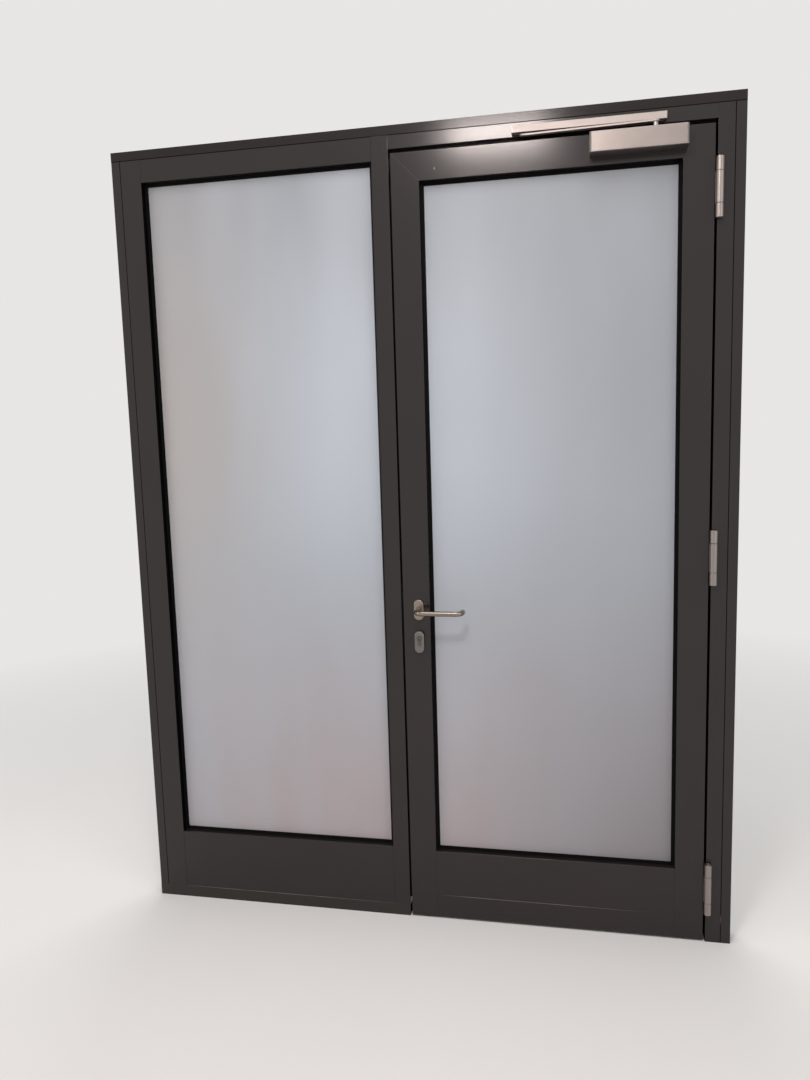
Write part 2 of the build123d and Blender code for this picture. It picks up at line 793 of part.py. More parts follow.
# Lever handles, one on each side, on one square spindle through the lock
spindle_socket = spindle_side + 2 * spindle_clearance
with BuildPart() as lever_front:
    grip_y = front_y - lever_projection
    collar_y = front_y - collar_start
    with BuildLine(Plane.XY.offset(lever_height)) as path:
        FilletPolyline(
            (lever_x, collar_y),
            (lever_x, grip_y),
            (lever_x + lever_reach, grip_y),
            (lever_x + lever_reach, grip_y + lever_return),
            radius=lever_bend,
        )
    with BuildSketch(upright(collar_y)):
        with Locations((lever_x, lever_height)):
            Circle(tube_diameter / 2)
    sweep(path=path.line)
    lever_tip = faces().filter_by(GeomType.PLANE).sort_by(Axis.X)[-1]
    chamfer(lever_tip.edges(), lever_tip_bevel)
    with BuildSketch(upright(collar_y)):
        with Locations((lever_x, lever_height)):
            Circle(collar_radius)
    extrude(amount=collar_length)
    with BuildSketch(upright(collar_y)):
        with Locations((lever_x, lever_height)):
            Rectangle(spindle_socket, spindle_socket)
    extrude(amount=spindle_reach, mode=Mode.SUBTRACT)
save(lever_front, "lever_front")

with BuildPart() as lever_back:
    add(mirror(lever_front.part, about=Plane.XZ, mode=Mode.PRIVATE))
save(lever_back, "lever_back")

with BuildPart() as lever_spindle:
    with BuildSketch(upright(back_y + spindle_reach)):
        with Locations((lever_x, lever_height)):
            Rectangle(spindle_side, spindle_side)
    extrude(amount=frame_depth + 2 * spindle_reach)
save(lever_spindle, "lever_spindle")

with BuildPart() as lever_roses:
    with BuildSketch(upright(front_y)):
        with Locations((lever_x, lever_height)):
            SlotOverall(rose_height, rose_width, rotation=90)
    extrude(amount=rose_thickness)
    chamfer(faces().sort_by(Axis.Y)[0].edges(), rose_bevel)
    with BuildSketch(upright(front_y)):
        with Locations((lever_x, lever_height)):
            Circle(collar_radius + collar_clearance)
    extrude(amount=rose_thickness, mode=Mode.SUBTRACT)
    mirror(about=Plane.XZ)
save(lever_roses, "lever_roses")

# Mortice lock in the stile
with BuildPart() as lock_case:
    case_y = (lock_centre_y - case_thickness / 2, lock_centre_y + case_thickness / 2)
    inner_y = (case_y[0] + case_wall, case_y[1] - case_wall)
    inner_z = (case_bottom_z + case_wall, case_top_z - case_wall)
    block((case_front_x, case_back_x), case_y, (case_bottom_z, case_top_z))
    block((case_front_x, case_back_x - case_wall), inner_y, inner_z, Mode.SUBTRACT)
    with BuildSketch(upright(case_y[1])):
        with Locations((lever_x, lever_height)):
            Circle(follower_radius + running_clearance)
        cylinder_outline(cut_out_clearance)
    extrude(amount=case_thickness, mode=Mode.SUBTRACT)
    block((case_back_x - case_wall, case_back_x), *cam_slot(), Mode.SUBTRACT)
save(lock_case, "lock_case")

with BuildPart() as lock_faceplate:
    with BuildSketch(Plane.YZ.offset(leaf_left_x)):
        long_plate_outline()
        panel(*lock_hole(latch_z, latch_height, fit_clearance), Mode.SUBTRACT)
        panel(*lock_hole(bolt_z, bolt_height, fit_clearance), Mode.SUBTRACT)
    extrude(amount=faceplate_thickness)
    with Locations(*[Location(p, (0, -90, 0)) for p in plate_screw_points(leaf_left_x)]):
        CounterSinkHole(screw_radius, screw_head_radius, faceplate_thickness)
save(lock_faceplate, "lock_faceplate")

with BuildPart() as strike_plate:
    with BuildSketch(Plane.YZ.offset(door_left_x)):
        long_plate_outline()
        panel(*lock_hole(latch_z, latch_height, strike_play), Mode.SUBTRACT)
        panel(*lock_hole(bolt_z, bolt_height, strike_play), Mode.SUBTRACT)
    extrude(amount=strike_thickness)
    strike_face_x = door_left_x + strike_thickness
    with Locations(*[Location(p, (0, 90, 0)) for p in plate_screw_points(strike_face_x)]):
        CounterSinkHole(screw_radius, screw_head_radius, strike_thickness)
save(strike_plate, "strike_plate")

# The latch stands out at rest. The follower's nose draws it back by its lug.
latch_y = (lock_centre_y - bolt_thickness / 2, lock_centre_y + bolt_thickness / 2)
latch_tip_x = leaf_left_x - latch_throw
latch_bottom_z = latch_z - latch_height / 2
nose_corner_x = lever_x - (follower_nose - follower_nose_width / 2) / 2**0.5
nose_corner_z = lever_height + (follower_nose + follower_nose_width / 2) / 2**0.5
lug_x = (nose_corner_x + latch_lug_play, nose_corner_x + latch_lug_play + latch_lug)
with BuildPart() as latch_bolt:
    with BuildSketch(Plane.XY.offset(latch_bottom_z)):
        panel((latch_tip_x, latch_tip_x + latch_head), latch_y)
        bevel_back_y = latch_y[0] + latch_nose
        corner = [(latch_tip_x, latch_y[1]), (latch_tip_x + latch_bevel, latch_y[1])]
        area([*corner, (latch_tip_x, bevel_back_y)], Mode.SUBTRACT)
    extrude(amount=latch_height)
    tail_z = (latch_bottom_z, latch_bottom_z + latch_tail_height)
    block((latch_tip_x + latch_head, lug_x[1]), latch_y, tail_z)
    block(lug_x, latch_y, (nose_corner_z, tail_z[0]))
save(latch_bolt, "latch_bolt")

with BuildPart() as dead_bolt:
    bolt_z_range = (bolt_z - bolt_height / 2, bolt_z + bolt_height / 2)
    block((leaf_left_x, leaf_left_x + bolt_length), latch_y, bolt_z_range)
    chamfer(faces().sort_by(Axis.X)[0].edges(), barrel_edge)
save(dead_bolt, "dead_bolt")

with BuildPart() as lock_follower:
    with BuildSketch(upright(lock_centre_y + case_thickness / 2)):
        with Locations((lever_x, lever_height)):
            Circle(follower_radius)
            Rectangle(spindle_socket, spindle_socket, mode=Mode.SUBTRACT)
    extrude(amount=case_thickness)
    with BuildSketch(upright(lock_centre_y + bolt_thickness / 2)):
        with Locations(Location((lever_x, lever_height), 135)):
            nose_start = follower_radius - follower_nose_root
            with Locations(((nose_start + follower_nose) / 2, 0)):
                Rectangle(follower_nose - nose_start, follower_nose_width)
    extrude(amount=bolt_thickness)
save(lock_follower, "lock_follower")

# Lock cylinder with its two plugs and the cam between them
cam_y = (lock_centre_y - cam_width / 2, lock_centre_y + cam_width / 2)
with BuildPart() as cylinder_body:
    with BuildSketch(upright(cylinder_back_y)):
        cylinder_outline()
        with Locations((lever_x, cylinder_z)):
            Circle(plug_radius + running_clearance, mode=Mode.SUBTRACT)
    extrude(amount=cylinder_back_y - cylinder_front_y)
    slot_y = (cam_y[0] - cam_play, cam_y[1] + cam_play)
    slot_x = (lever_x - 2 * cylinder_radius, lever_x + 2 * cylinder_radius)
    slot_z = (cylinder_z - cam_reach - cam_clearance, cylinder_z + 2 * cylinder_radius)
    block(slot_x, slot_y, slot_z, Mode.SUBTRACT)
save(cylinder_body, "cylinder_body")

with BuildPart() as cylinder_plugs:
    for start_y, end_y in (
        (cam_y[0], cylinder_front_y + plug_inset),
        (cylinder_back_y - plug_inset, cam_y[1]),
    ):
        with BuildSketch(upright(start_y)):
            with Locations((lever_x, cylinder_z)):
                Circle(plug_radius)
        extrude(amount=start_y - end_y)
    keyway_x = (lever_x - keyway_width / 2, lever_x + keyway_width / 2)
    keyway_z = (cylinder_z - plug_radius, cylinder_z - plug_radius + keyway_height)
    block(keyway_x, (cylinder_front_y, cylinder_front_y + keyway_depth), keyway_z, Mode.SUBTRACT)
    block(keyway_x, (cylinder_back_y - keyway_depth, cylinder_back_y), keyway_z, Mode.SUBTRACT)
save(cylinder_plugs, "cylinder_plugs")

with BuildPart() as cylinder_cam:
    with BuildSketch(upright(cam_y[1])):
        with Locations((lever_x, cylinder_z)):
            Circle(cam_hub_radius)
        half = cam_tooth_width / 2
        tooth_z = (cylinder_z - cam_reach, cylinder_z)
        panel((lever_x - half, lever_x + half), tooth_z)
    extrude(amount=cam_width)
save(cylinder_cam, "cylinder_cam")

with BuildPart() as cylinder_roses:
    with BuildSketch(upright(front_y)):
        with Locations((lever_x, cylinder_rose_z)):
            SlotOverall(cylinder_rose_height, cylinder_rose_width, rotation=90)
    extrude(amount=cylinder_rose_thickness)
    chamfer(faces().sort_by(Axis.Y)[0].edges(), rose_bevel)
    with BuildSketch(upright(front_y)):
        cylinder_outline(fit_clearance)
    extrude(amount=cylinder_rose_thickness, mode=Mode.SUBTRACT)
    mirror(about=Plane.XZ)
save(cylinder_roses, "cylinder_roses")

# Closer on the leaf: its body between two end caps, and the square shaft
closer_core_x = (closer_left_x + closer_cap, closer_right_x - closer_cap)
with BuildPart() as closer_body:
    block(closer_core_x, (closer_front_y, front_y), (closer_bottom_z, closer_top_z))
    long_edges = edges().filter_by(Axis.X).group_by(Axis.Y)[0]
    fillet(long_edges, closer_edge_radius)
    seat_z = closer_top_z - shaft_seat
    bore = shaft_radius + running_clearance
    upright_bar(bore, shaft_seat, (shaft_x, shaft_y, seat_z), Mode.SUBTRACT)
save(closer_body, "closer_body")

with BuildPart() as closer_end_caps:
    for start, way in ((closer_core_x[0], -1), (closer_core_x[1], 1)):
        with BuildSketch(Plane.YZ.offset(start)) as section:
            panel((closer_front_y, front_y), (closer_bottom_z, closer_top_z))
            fillet(section.vertices().group_by(Axis.X)[0], closer_edge_radius)
        extrude(amount=way * closer_cap)
        with BuildSketch(Plane.XY.offset(closer_bottom_z)):
            end_x = start + way * closer_cap
            bevel_x = end_x - way * closer_bevel
            bevel_y = closer_front_y + closer_bevel
            area([(end_x, closer_front_y), (bevel_x, closer_front_y), (end_x, bevel_y)])
        extrude(amount=closer_height, mode=Mode.SUBTRACT)
save(closer_end_caps, "closer_end_caps")

with BuildPart() as closer_shaft:
    upright_bar(shaft_radius, arm_bottom_z - seat_z, (shaft_x, shaft_y, seat_z))
    with BuildSketch(Plane.XY.offset(arm_bottom_z)):
        with Locations((shaft_x, shaft_y)):
            Rectangle(shaft_square, shaft_square)
    extrude(amount=arm_thickness)
save(closer_shaft, "closer_shaft")

with BuildPart() as closer_arm:
    with BuildSketch(Plane.XY.offset(arm_bottom_z)):
        with BuildLine():
            arm_line = Line((shaft_x, shaft_y), (slider_x, rail_centre_y))
        across = (arm_line % 0).rotate(Axis.Z, 90)
        shaft_end = arm_line @ 0
        slider_end = arm_line @ 1
        area(
            [
                shaft_end + across * (arm_width / 2),
                slider_end + across * (arm_tip_width / 2),
                slider_end - across * (arm_tip_width / 2),
                shaft_end - across * (arm_width / 2),
            ]
        )
        with Locations((shaft_x, shaft_y)):
            Circle(arm_head_radius)
            Rectangle(shaft_square, shaft_square, mode=Mode.SUBTRACT)
        with Locations((slider_x, rail_centre_y)):
            Circle(arm_tip_radius)
    extrude(amount=arm_thickness)
save(closer_arm, "closer_arm")

# Slide rail on the head, with the slider that the arm leads
rail_core_x = (rail_left_x + rail_cap, rail_right_x - rail_cap)
cavity_y = (rail_front_y + rail_wall, front_y - rail_wall)
cavity_z = (rail_bottom_z + rail_wall, rail_top_z - rail_wall)
with BuildPart() as slide_rail:
    with BuildSketch(Plane.YZ.offset(rail_core_x[0])) as section:
        tube_section((rail_front_y, front_y), (rail_bottom_z, rail_top_z), rail_wall)
        fillet(section.vertices().group_by(Axis.X)[0], edge_radius)
        slot_y = (rail_centre_y - rail_slot / 2, rail_centre_y + rail_slot / 2)
        panel(slot_y, (rail_bottom_z, cavity_z[0]), Mode.SUBTRACT)
    extrude(amount=rail_core_x[1] - rail_core_x[0])
save(slide_rail, "slide_rail")

with BuildPart() as rail_end_caps:
    for start, way in ((rail_core_x[0], -1), (rail_core_x[1], 1)):
        with BuildSketch(Plane.YZ.offset(start)) as section:
            panel((rail_front_y, front_y), (rail_bottom_z, rail_top_z))
            fillet(section.vertices().group_by(Axis.X)[0], edge_radius)
        extrude(amount=way * rail_cap)
        with BuildSketch(Plane.YZ.offset(start)):
            spigot_y = (cavity_y[0] + fit_clearance, cavity_y[1] - fit_clearance)
            spigot_z = (cavity_z[0] + fit_clearance, cavity_z[1] - fit_clearance)
            panel(spigot_y, spigot_z)
        extrude(amount=-way * rail_spigot)
save(rail_end_caps, "rail_end_caps")

with BuildPart() as rail_slider:
    slider_y = (cavity_y[0] + slider_play, cavity_y[1] - slider_play)
    slider_z = (cavity_z[0] + slider_play, cavity_z[1] - slider_play)
    block((slider_x - slider_length / 2, slider_x + slider_length / 2), slider_y, slider_z)
    pin_bottom_z = arm_top_z + pivot_clearance
    pin_length = slider_z[0] - pin_bottom_z
    upright_bar(slider_pin_radius, pin_length, (slider_x, rail_centre_y, pin_bottom_z))
save(rail_slider, "rail_slider")

# Screws of the faceplate
head_height = screw_head_radius - screw_radius
with BuildPart() as lock_screws:
    for point in plate_screw_points(leaf_left_x):
        start = Plane(origin=point, z_dir=(1, 0, 0))
        with BuildSketch(start):
            Circle(screw_head_radius - fit_clearance)
        with BuildSketch(start.offset(head_height)):
            Circle(screw_radius - fit_clearance)
        loft()
        with BuildSketch(start.offset(head_height)):
            Circle(screw_radius - fit_clearance)
        extrude(amount=screw_length - head_height)
save(lock_screws, "lock_screws")
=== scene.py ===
import json
import math

import bmesh
import bpy
from mathutils import Matrix, Vector


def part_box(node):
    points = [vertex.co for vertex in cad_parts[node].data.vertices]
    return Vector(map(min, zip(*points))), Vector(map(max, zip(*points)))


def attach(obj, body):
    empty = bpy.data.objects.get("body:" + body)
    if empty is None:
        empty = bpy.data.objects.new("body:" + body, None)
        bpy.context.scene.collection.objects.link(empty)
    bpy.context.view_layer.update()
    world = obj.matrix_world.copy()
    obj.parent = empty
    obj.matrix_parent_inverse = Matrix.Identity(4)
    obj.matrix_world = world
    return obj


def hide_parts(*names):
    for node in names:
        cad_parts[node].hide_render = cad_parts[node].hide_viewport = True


# Looks of a glazed entrance door set: satin powder coat on the profiles, frosted glass behind a
# black gasket, anodised aluminium on the hinges and the closer, brushed steel on the levers.
# Lengths are in metres, in the CAD's frame: X to the right, Y away from the pull side, Z up.

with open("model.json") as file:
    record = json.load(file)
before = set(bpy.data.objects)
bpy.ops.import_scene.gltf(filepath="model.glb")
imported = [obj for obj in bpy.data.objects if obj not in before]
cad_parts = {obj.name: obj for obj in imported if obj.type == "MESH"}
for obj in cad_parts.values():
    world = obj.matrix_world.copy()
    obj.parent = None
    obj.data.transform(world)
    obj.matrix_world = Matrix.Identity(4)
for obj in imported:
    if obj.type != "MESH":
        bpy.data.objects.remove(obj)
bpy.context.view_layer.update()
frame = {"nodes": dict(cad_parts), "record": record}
nodes = frame["nodes"]

MM = 0.001

# Camera at the photograph's place: metres, degrees, and the lens on the long side of the picture
CAMERA_PLACE = (0.5306, -2.7016, 1.6249)
CAMERA_TURN = 12.008
CAMERA_TILT = -7.574
CAMERA_ROLL = 1.688
CAMERA_LENS = 29.218
CAMERA_SENSOR = 36.0
CLIP_START = 0.05
CLIP_END = 50.0

# Colours, linear
COAT_DARK = (0.0131, 0.0089, 0.0087)
COAT_LIGHT = (0.0163, 0.0111, 0.0109)
COAT_BASE_DARK = (0.0156, 0.0114, 0.0095)
COAT_BASE_LIGHT = (0.0195, 0.0144, 0.0120)
# Light line of the leaf's mitre seam, painted lighter as a highlight
COAT_SEAM_HIGHLIGHT = (0.060, 0.050, 0.048)
# Near black of the joints, also used as painted shade on the jambs' inner edges
COAT_JOINT_AND_SHADE = (0.0015, 0.0012, 0.0012)
# Light grey of the worn spots, also used for the painted highlights along edges
COAT_WEAR_AND_HIGHLIGHT = (0.22, 0.20, 0.185)
RUBBER_BLACK = (0.003, 0.003, 0.0033)
ALUMINIUM = (0.375, 0.33, 0.31)
ALUMINIUM_DULL = (0.31, 0.27, 0.25)
# Darker copy of the aluminium for the closer and the hinges: painted shade
ALUMINIUM_SHADED = (0.325, 0.283, 0.264)
ALUMINIUM_SHADED_DULL = (0.27, 0.233, 0.216)
STEEL = (0.275, 0.232, 0.195)
STEEL_DULL = (0.22, 0.178, 0.143)
ROSE_STEEL = (0.34, 0.285, 0.235)
ROSE_STEEL_DULL = (0.25, 0.20, 0.16)
SATIN_NICKEL = (0.225, 0.212, 0.207)
SATIN_NICKEL_DULL = (0.155, 0.147, 0.143)
# Near black for painted shade in gaps
STEEL_SHADE_BLACK = (0.020, 0.018, 0.017)
ZINC = (0.46, 0.46, 0.47)
NICKEL = (0.15, 0.13, 0.115)
BRASS_SHOWING = (0.28, 0.14, 0.07)
# Frosted glass: apart from its milky tint, these colours are painted light and shade from behind
# the pane
FROST_TOP = (0.36, 0.38, 0.415)
FROST_MIDDLE = (0.470, 0.508, 0.565)
FROST_BOTTOM = (0.520, 0.430, 0.435)
FROST_PAINTED_LIGHT = (0.53, 0.56, 0.62)
FROST_PAINTED_WARM = (0.56, 0.50, 0.465)
FROST_PAINTED_GLOW = (0.665, 0.725, 0.80)
FROST_PAINTED_SHADE = (0.235, 0.235, 0.255)
GLASS_TINT = (0.93, 0.97, 0.96)
SPACER_GREY = (0.20, 0.20, 0.205)
PLASTIC_BLACK = (0.012, 0.012, 0.012)
PILE_BLACK = (0.015, 0.015, 0.015)
FLOOR_PALE = (0.74, 0.73, 0.72)
WORLD_COLOUR = (1.0, 0.99, 0.98)

# Directions, and how a noise is stretched into lines along one of them
ALONG_X = (1.0, 0.0, 0.0)
ALONG_Y = (0.0, 1.0, 0.0)
ALONG_Z = (0.0, 0.0, 1.0)
X_LINES = (0.012, 1.0, 1.0)
Z_LINES = (1.0, 1.0, 0.012)

# Shares that rise or fall, and the span that most values of a noise lie in
RISING = (0.0, 1.0)
FALLING = (1.0, 0.0)
MOST = (0.3, 0.7)

# Powder coat: shine, and the sizes and depths of what shows in it
COAT_SPECULAR = 0.03
COAT_GLOSS = 0.9
COAT_GLOSS_SHELTERED = 0.55
COAT_GLOSS_ROUGHNESS = 0.17
COAT_ROUGHNESS = (0.38, 0.46)
COAT_PATCH = 0.35
COAT_PATCH_SPAN = (0.2, 0.8)
COAT_LINE = 2.2 * MM
COAT_LINE_DEPTH = 0.004 * MM
COAT_PEEL = 0.9 * MM
COAT_PEEL_DEPTH = 0.012 * MM

# Painted highlights along edges, and rubbed spots
HIGHLIGHT_WIDTH = 1.6 * MM
HIGHLIGHT_FADE_LEFT = 0.12
HIGHLIGHT_FADE_RIGHT = 0.3
HIGHLIGHT_PATCH = 0.05
HIGHLIGHT_STRETCH = (1.0, 0.2, 0.2)
HIGHLIGHT_SPAN = (0.3, 0.65)
HIGHLIGHT_SHARES = (0.55, 1.0)
SPOT_GRAIN = 2.0 * MM
SPOT_RAGGED = 0.8
SPOT_EDGE = (0.7, 1.4)
SPOT_SHARES = (0.55, 0.0)
SPOT_DEPTH_SCALE = 0.2

# Metals
TARNISH_PATCH = 0.06
TARNISH_SPAN = (0.3, 0.75)
SHADE_FADE_WITHIN = 0.5 * MM
NICKEL_ROUGHNESS = (0.34, 0.46)
NICKEL_GRAIN = 1.5 * MM
NICKEL_RELIEF = 0.5 * MM
NICKEL_DEPTH = 0.004 * MM
RUB_REACH = 20 * MM
RUB_FULL_AT = 0.4
RUB_PATCH = 5 * MM
RUB_SPAN = (0.35, 0.6)
RUB_SHARES = (0.4, 1.0)

# Frosted glass and its painted light and shade: places across the set in metres, heights as shares
# of the pane's height
GLASS_IOR = 1.5
FROST_TRANSMISSION = 0.35
FROST_ROUGHNESS = (0.48, 0.60)
FROST_GRAIN = 0.8 * MM
FROST_RELIEF = 0.6 * MM
FROST_DEPTH = 0.010 * MM
# Heights of the painted change from foot to top
FOOT_HEIGHTS = (0.0, 0.45)
TOP_HEIGHTS = (0.35, 1.0)
# Painted light in soft bands, stronger to the left
BAND_PATCH = 0.45
BAND_STRETCH = (1.5, 1.0, 0.4)
BAND_SPAN = (0.25, 0.75)
BAND_ACROSS = (-0.25, 0.25)
BAND_SHARES = (0.7, 0.45)
# Painted glow of light from behind the pane, by the mullion
GLOW_HEIGHT = 0.67
GLOW_AWAY = (0.1, 0.8)
GLOW_SHARES = (0.5, 0.0)
GLOW_LEVEL = (0.05, 0.33)
GLOW_LEVEL_SHARES = (1.0, 0.1)
# Painted warm light on the far left, strongest near the glow's height
WARM_ACROSS = (-0.85, -0.3)
WARM_SHARES = (0.6, 0.0)
WARM_LEVEL = (0.05, 0.5)
WARM_LEVEL_SHARES = (1.0, 0.15)
# Painted shade, darkest low on the right
SHADE_ACROSS = (0.05, 0.85)
SHADE_HEIGHTS = (0.0, 0.55)
SHADE_SHARES = (0.85, 0.15)

# Clear glass
CLEAR_ALPHA = 0.35
CLEAR_ROUGHNESS = (0.01, 0.06)
WIPING_PATCH = 0.12
WIPING_SPAN = (0.45, 0.75)
CLEAR_WAVE = 0.25
CLEAR_WAVE_DEPTH = 0.02 * MM

# Rubber and plastic
DULL_GLOSS = 0.5
RUBBER_GLOSS = 0.08
DULL_PATCH = 8 * MM
DULL_LIFT = 1.5


class NodeWork:
    """Adds nodes to a tree. An input is a plain value or another node's output."""

    def __init__(self, tree):
        self.tree = tree

    def feed(self, socket, value):
        if isinstance(value, bpy.types.NodeSocket):
            self.tree.links.new(value, socket)
        elif isinstance(value, tuple) and len(value) == 3 and socket.type == "RGBA":
            socket.default_value = (*value, 1.0)
        else:
            socket.default_value = value

    def node(self, kind, inputs=None, **settings):
        made = self.tree.nodes.new(kind)
        for name, value in settings.items():
            setattr(made, name, value)
        for socket, value in (inputs or {}).items():
            self.feed(made.inputs[socket], value)
        return made

    def maths(self, operation, first, second=0.0):
        return self.node("ShaderNodeMath", {0: first, 1: second}, operation=operation).outputs[0]


class Finish(NodeWork):
    """A procedural material, drawn in the coordinates of the piece that wears it."""

    def __init__(self, name, **sockets):
        self.material = bpy.data.materials.new(name)
        self.material.use_nodes = True
        super().__init__(self.material.node_tree)
        self.shader = self.tree.nodes["Principled BSDF"]
        self.place = self.node("ShaderNodeTexCoord").outputs["Object"]
        self.surface = None
        for socket, value in sockets.items():
            self.set(socket.replace("_", " "), value)

    def set(self, socket, value):
        self.feed(self.shader.inputs[socket], value)

    def noise(self, size, detail=2.0, stretch=(1.0, 1.0, 1.0)):
        """Noise whose patches are about that size in metres."""
        place = self.node("ShaderNodeMapping", {"Vector": self.place, "Scale": stretch})
        inputs = {"Vector": place.outputs["Vector"], "Scale": 1 / size, "Detail": detail}
        return self.node("ShaderNodeTexNoise", inputs).outputs["Fac"]

    def remap(self, value, old, new, curve="LINEAR"):
        """Value from the range old to the range new, held at its ends."""
        inputs = {
            "Value": value, "From Min": old[0], "From Max": old[1],
            "To Min": new[0], "To Max": new[1],
        }
        return self.node("ShaderNodeMapRange", inputs, interpolation_type=curve).outputs["Result"]

    def blend(self, share, first, second):
        """Colour from first to second as share goes from 0 to 1."""
        inputs = {0: share, 6: first, 7: second}
        return self.node("ShaderNodeMix", inputs, data_type="RGBA").outputs[2]

    def along(self, direction):
        """How far a point lies along a direction."""
        inputs = {0: self.place, 1: direction}
        return self.node("ShaderNodeVectorMath", inputs, operation="DOT_PRODUCT").outputs["Value"]

    def away(self, value, centre):
        """How far a value is from a centre, on either side."""
        return self.maths("ABSOLUTE", self.maths("SUBTRACT", value, centre))

    def line(self, direction, distance, width):
        """1 on the plane at that distance along the direction, 0 beyond half the width."""
        offset = self.away(self.along(direction), distance)
        return self.remap(offset, (width * 0.25, width * 0.5), FALLING)

    def relief(self, height, depth):
        """Raise the surface by height, from 0 to 1, times depth in metres."""
        bump = self.node("ShaderNodeBump", {"Height": height, "Distance": depth})
        if self.surface:
            self.feed(bump.inputs["Normal"], self.surface)
        self.surface = bump.outputs["Normal"]
        self.set("Normal", self.surface)


def powder_coat(name, lines, seams=(), wear_and_highlight=None, gloss=COAT_GLOSS, tints=(COAT_DARK, COAT_LIGHT)):
    """Satin powder coat with the profile's faint lines, fine seams, dark joints, painted shade on
    edges, worn places and painted highlights.
    """
    coat = Finish(
        name, Specular_IOR_Level=COAT_SPECULAR, Coat_Weight=gloss,
        Coat_Roughness=COAT_GLOSS_ROUGHNESS,
    )
    tone = coat.remap(coat.noise(COAT_PATCH, 1.0), COAT_PATCH_SPAN, RISING, "SMOOTHSTEP")
    colour = coat.blend(tone, *tints)
    streaks = coat.noise(COAT_LINE, 2.0, lines)
    roughness = coat.remap(streaks, MOST, COAT_ROUGHNESS)
    bare = None
    for direction, distance, width, tint in seams:
        seam = coat.line(direction, distance, width)
        colour = coat.blend(seam, colour, tint)
        # Joints and painted edge shade lose the coat's gloss
        if tint == COAT_JOINT_AND_SHADE:
            bare = coat.maths("MAXIMUM", seam, bare) if bare else seam
    if bare:
        coat.set("Coat Weight", coat.remap(bare, RISING, (gloss, 0.0)))
    # Worn spots, and painted highlights along edges
    if wear_and_highlight:
        colour = coat.blend(wear_and_highlight(coat), colour, COAT_WEAR_AND_HIGHLIGHT)
    coat.set("Base Color", colour)
    coat.set("Roughness", roughness)
    coat.relief(streaks, COAT_LINE_DEPTH)
    coat.relief(coat.noise(COAT_PEEL, 2.0), COAT_PEEL_DEPTH)
    coat.set("Coat Normal", coat.surface)
    return coat.material


def highlight_line(height, left, right):
    """Painted highlight along an edge at a height, broken up along its run and fading out at its
    ends.
    """

    def mask(coat):
        across = coat.along(ALONG_X)
        start = coat.remap(across, (left, left + HIGHLIGHT_FADE_LEFT), RISING)
        finish = coat.remap(across, (right - HIGHLIGHT_FADE_RIGHT, right), FALLING)
        broken = coat.remap(coat.noise(HIGHLIGHT_PATCH, 3.0, HIGHLIGHT_STRETCH), HIGHLIGHT_SPAN, HIGHLIGHT_SHARES)
        fade = coat.maths("MULTIPLY", coat.maths("MULTIPLY", start, finish), broken)
        return coat.maths("MULTIPLY", fade, coat.line(ALONG_Z, height, HIGHLIGHT_WIDTH))

    return mask


def worn_spot(place, radius, height):
    """Small rubbed spot, taller than it is wide."""

    def mask(coat):
        inputs = {0: coat.place, 1: place}
        offset = coat.node("ShaderNodeVectorMath", inputs, operation="SUBTRACT").outputs[0]
        inputs = {0: offset, 1: (1 / radius, SPOT_DEPTH_SCALE / radius, 1 / height)}
        scaled = coat.node("ShaderNodeVectorMath", inputs, operation="MULTIPLY").outputs[0]
        far = coat.node("ShaderNodeVectorMath", {0: scaled}, operation="LENGTH").outputs["Value"]
        rough_edge = coat.maths("MULTIPLY", coat.noise(SPOT_GRAIN, 3.0), SPOT_RAGGED)
        return coat.remap(coat.maths("ADD", far, rough_edge), SPOT_EDGE, SPOT_SHARES)

    return mask


def satin_metal(name, colours, roughness, lines, line_size, depth, shade_behind=None):
    """Slightly tarnished metal with fine strokes, and near-black painted shade behind a depth if
    one is given.
    """
    light, dull = colours
    metal = Finish(name, Metallic=1.0)
    cloud = metal.remap(metal.noise(TARNISH_PATCH, 3.0), TARNISH_SPAN, RISING)
    strokes = metal.noise(line_size, 2.0, lines)
    colour = metal.blend(cloud, light, tuple(0.5 * (a + b) for a, b in zip(light, dull)))
    # Painted shade: near black behind the given depth, where the hinge plates lie in the gap
    if shade_behind is not None:
        span = (shade_behind, shade_behind + SHADE_FADE_WITHIN)
        behind = metal.remap(metal.along(ALONG_Y), span, RISING)
        colour = metal.blend(behind, colour, STEEL_SHADE_BLACK)
    metal.set("Base Color", colour)
    metal.set("Roughness", metal.remap(strokes, MOST, roughness))
    metal.relief(strokes, depth)
    return metal.material


def nickel_on_brass(name, centre_z):
    """Cylinder face: matt nickel that has rubbed through to brass below the plug."""
    metal = Finish(name, Metallic=1.0)
    span = (centre_z - RUB_REACH, centre_z - RUB_FULL_AT * RUB_REACH)
    below = metal.remap(metal.along(ALONG_Z), span, FALLING)
    patchy = metal.remap(metal.noise(RUB_PATCH, 3.0), RUB_SPAN, RUB_SHARES)
    rubbed = metal.maths("MULTIPLY", below, patchy)
    metal.set("Base Color", metal.blend(rubbed, NICKEL, BRASS_SHOWING))
    metal.set("Roughness", metal.remap(metal.noise(NICKEL_GRAIN, 2.0), MOST, NICKEL_ROUGHNESS))
    metal.relief(metal.noise(NICKEL_RELIEF, 2.0), NICKEL_DEPTH)
    return metal.material


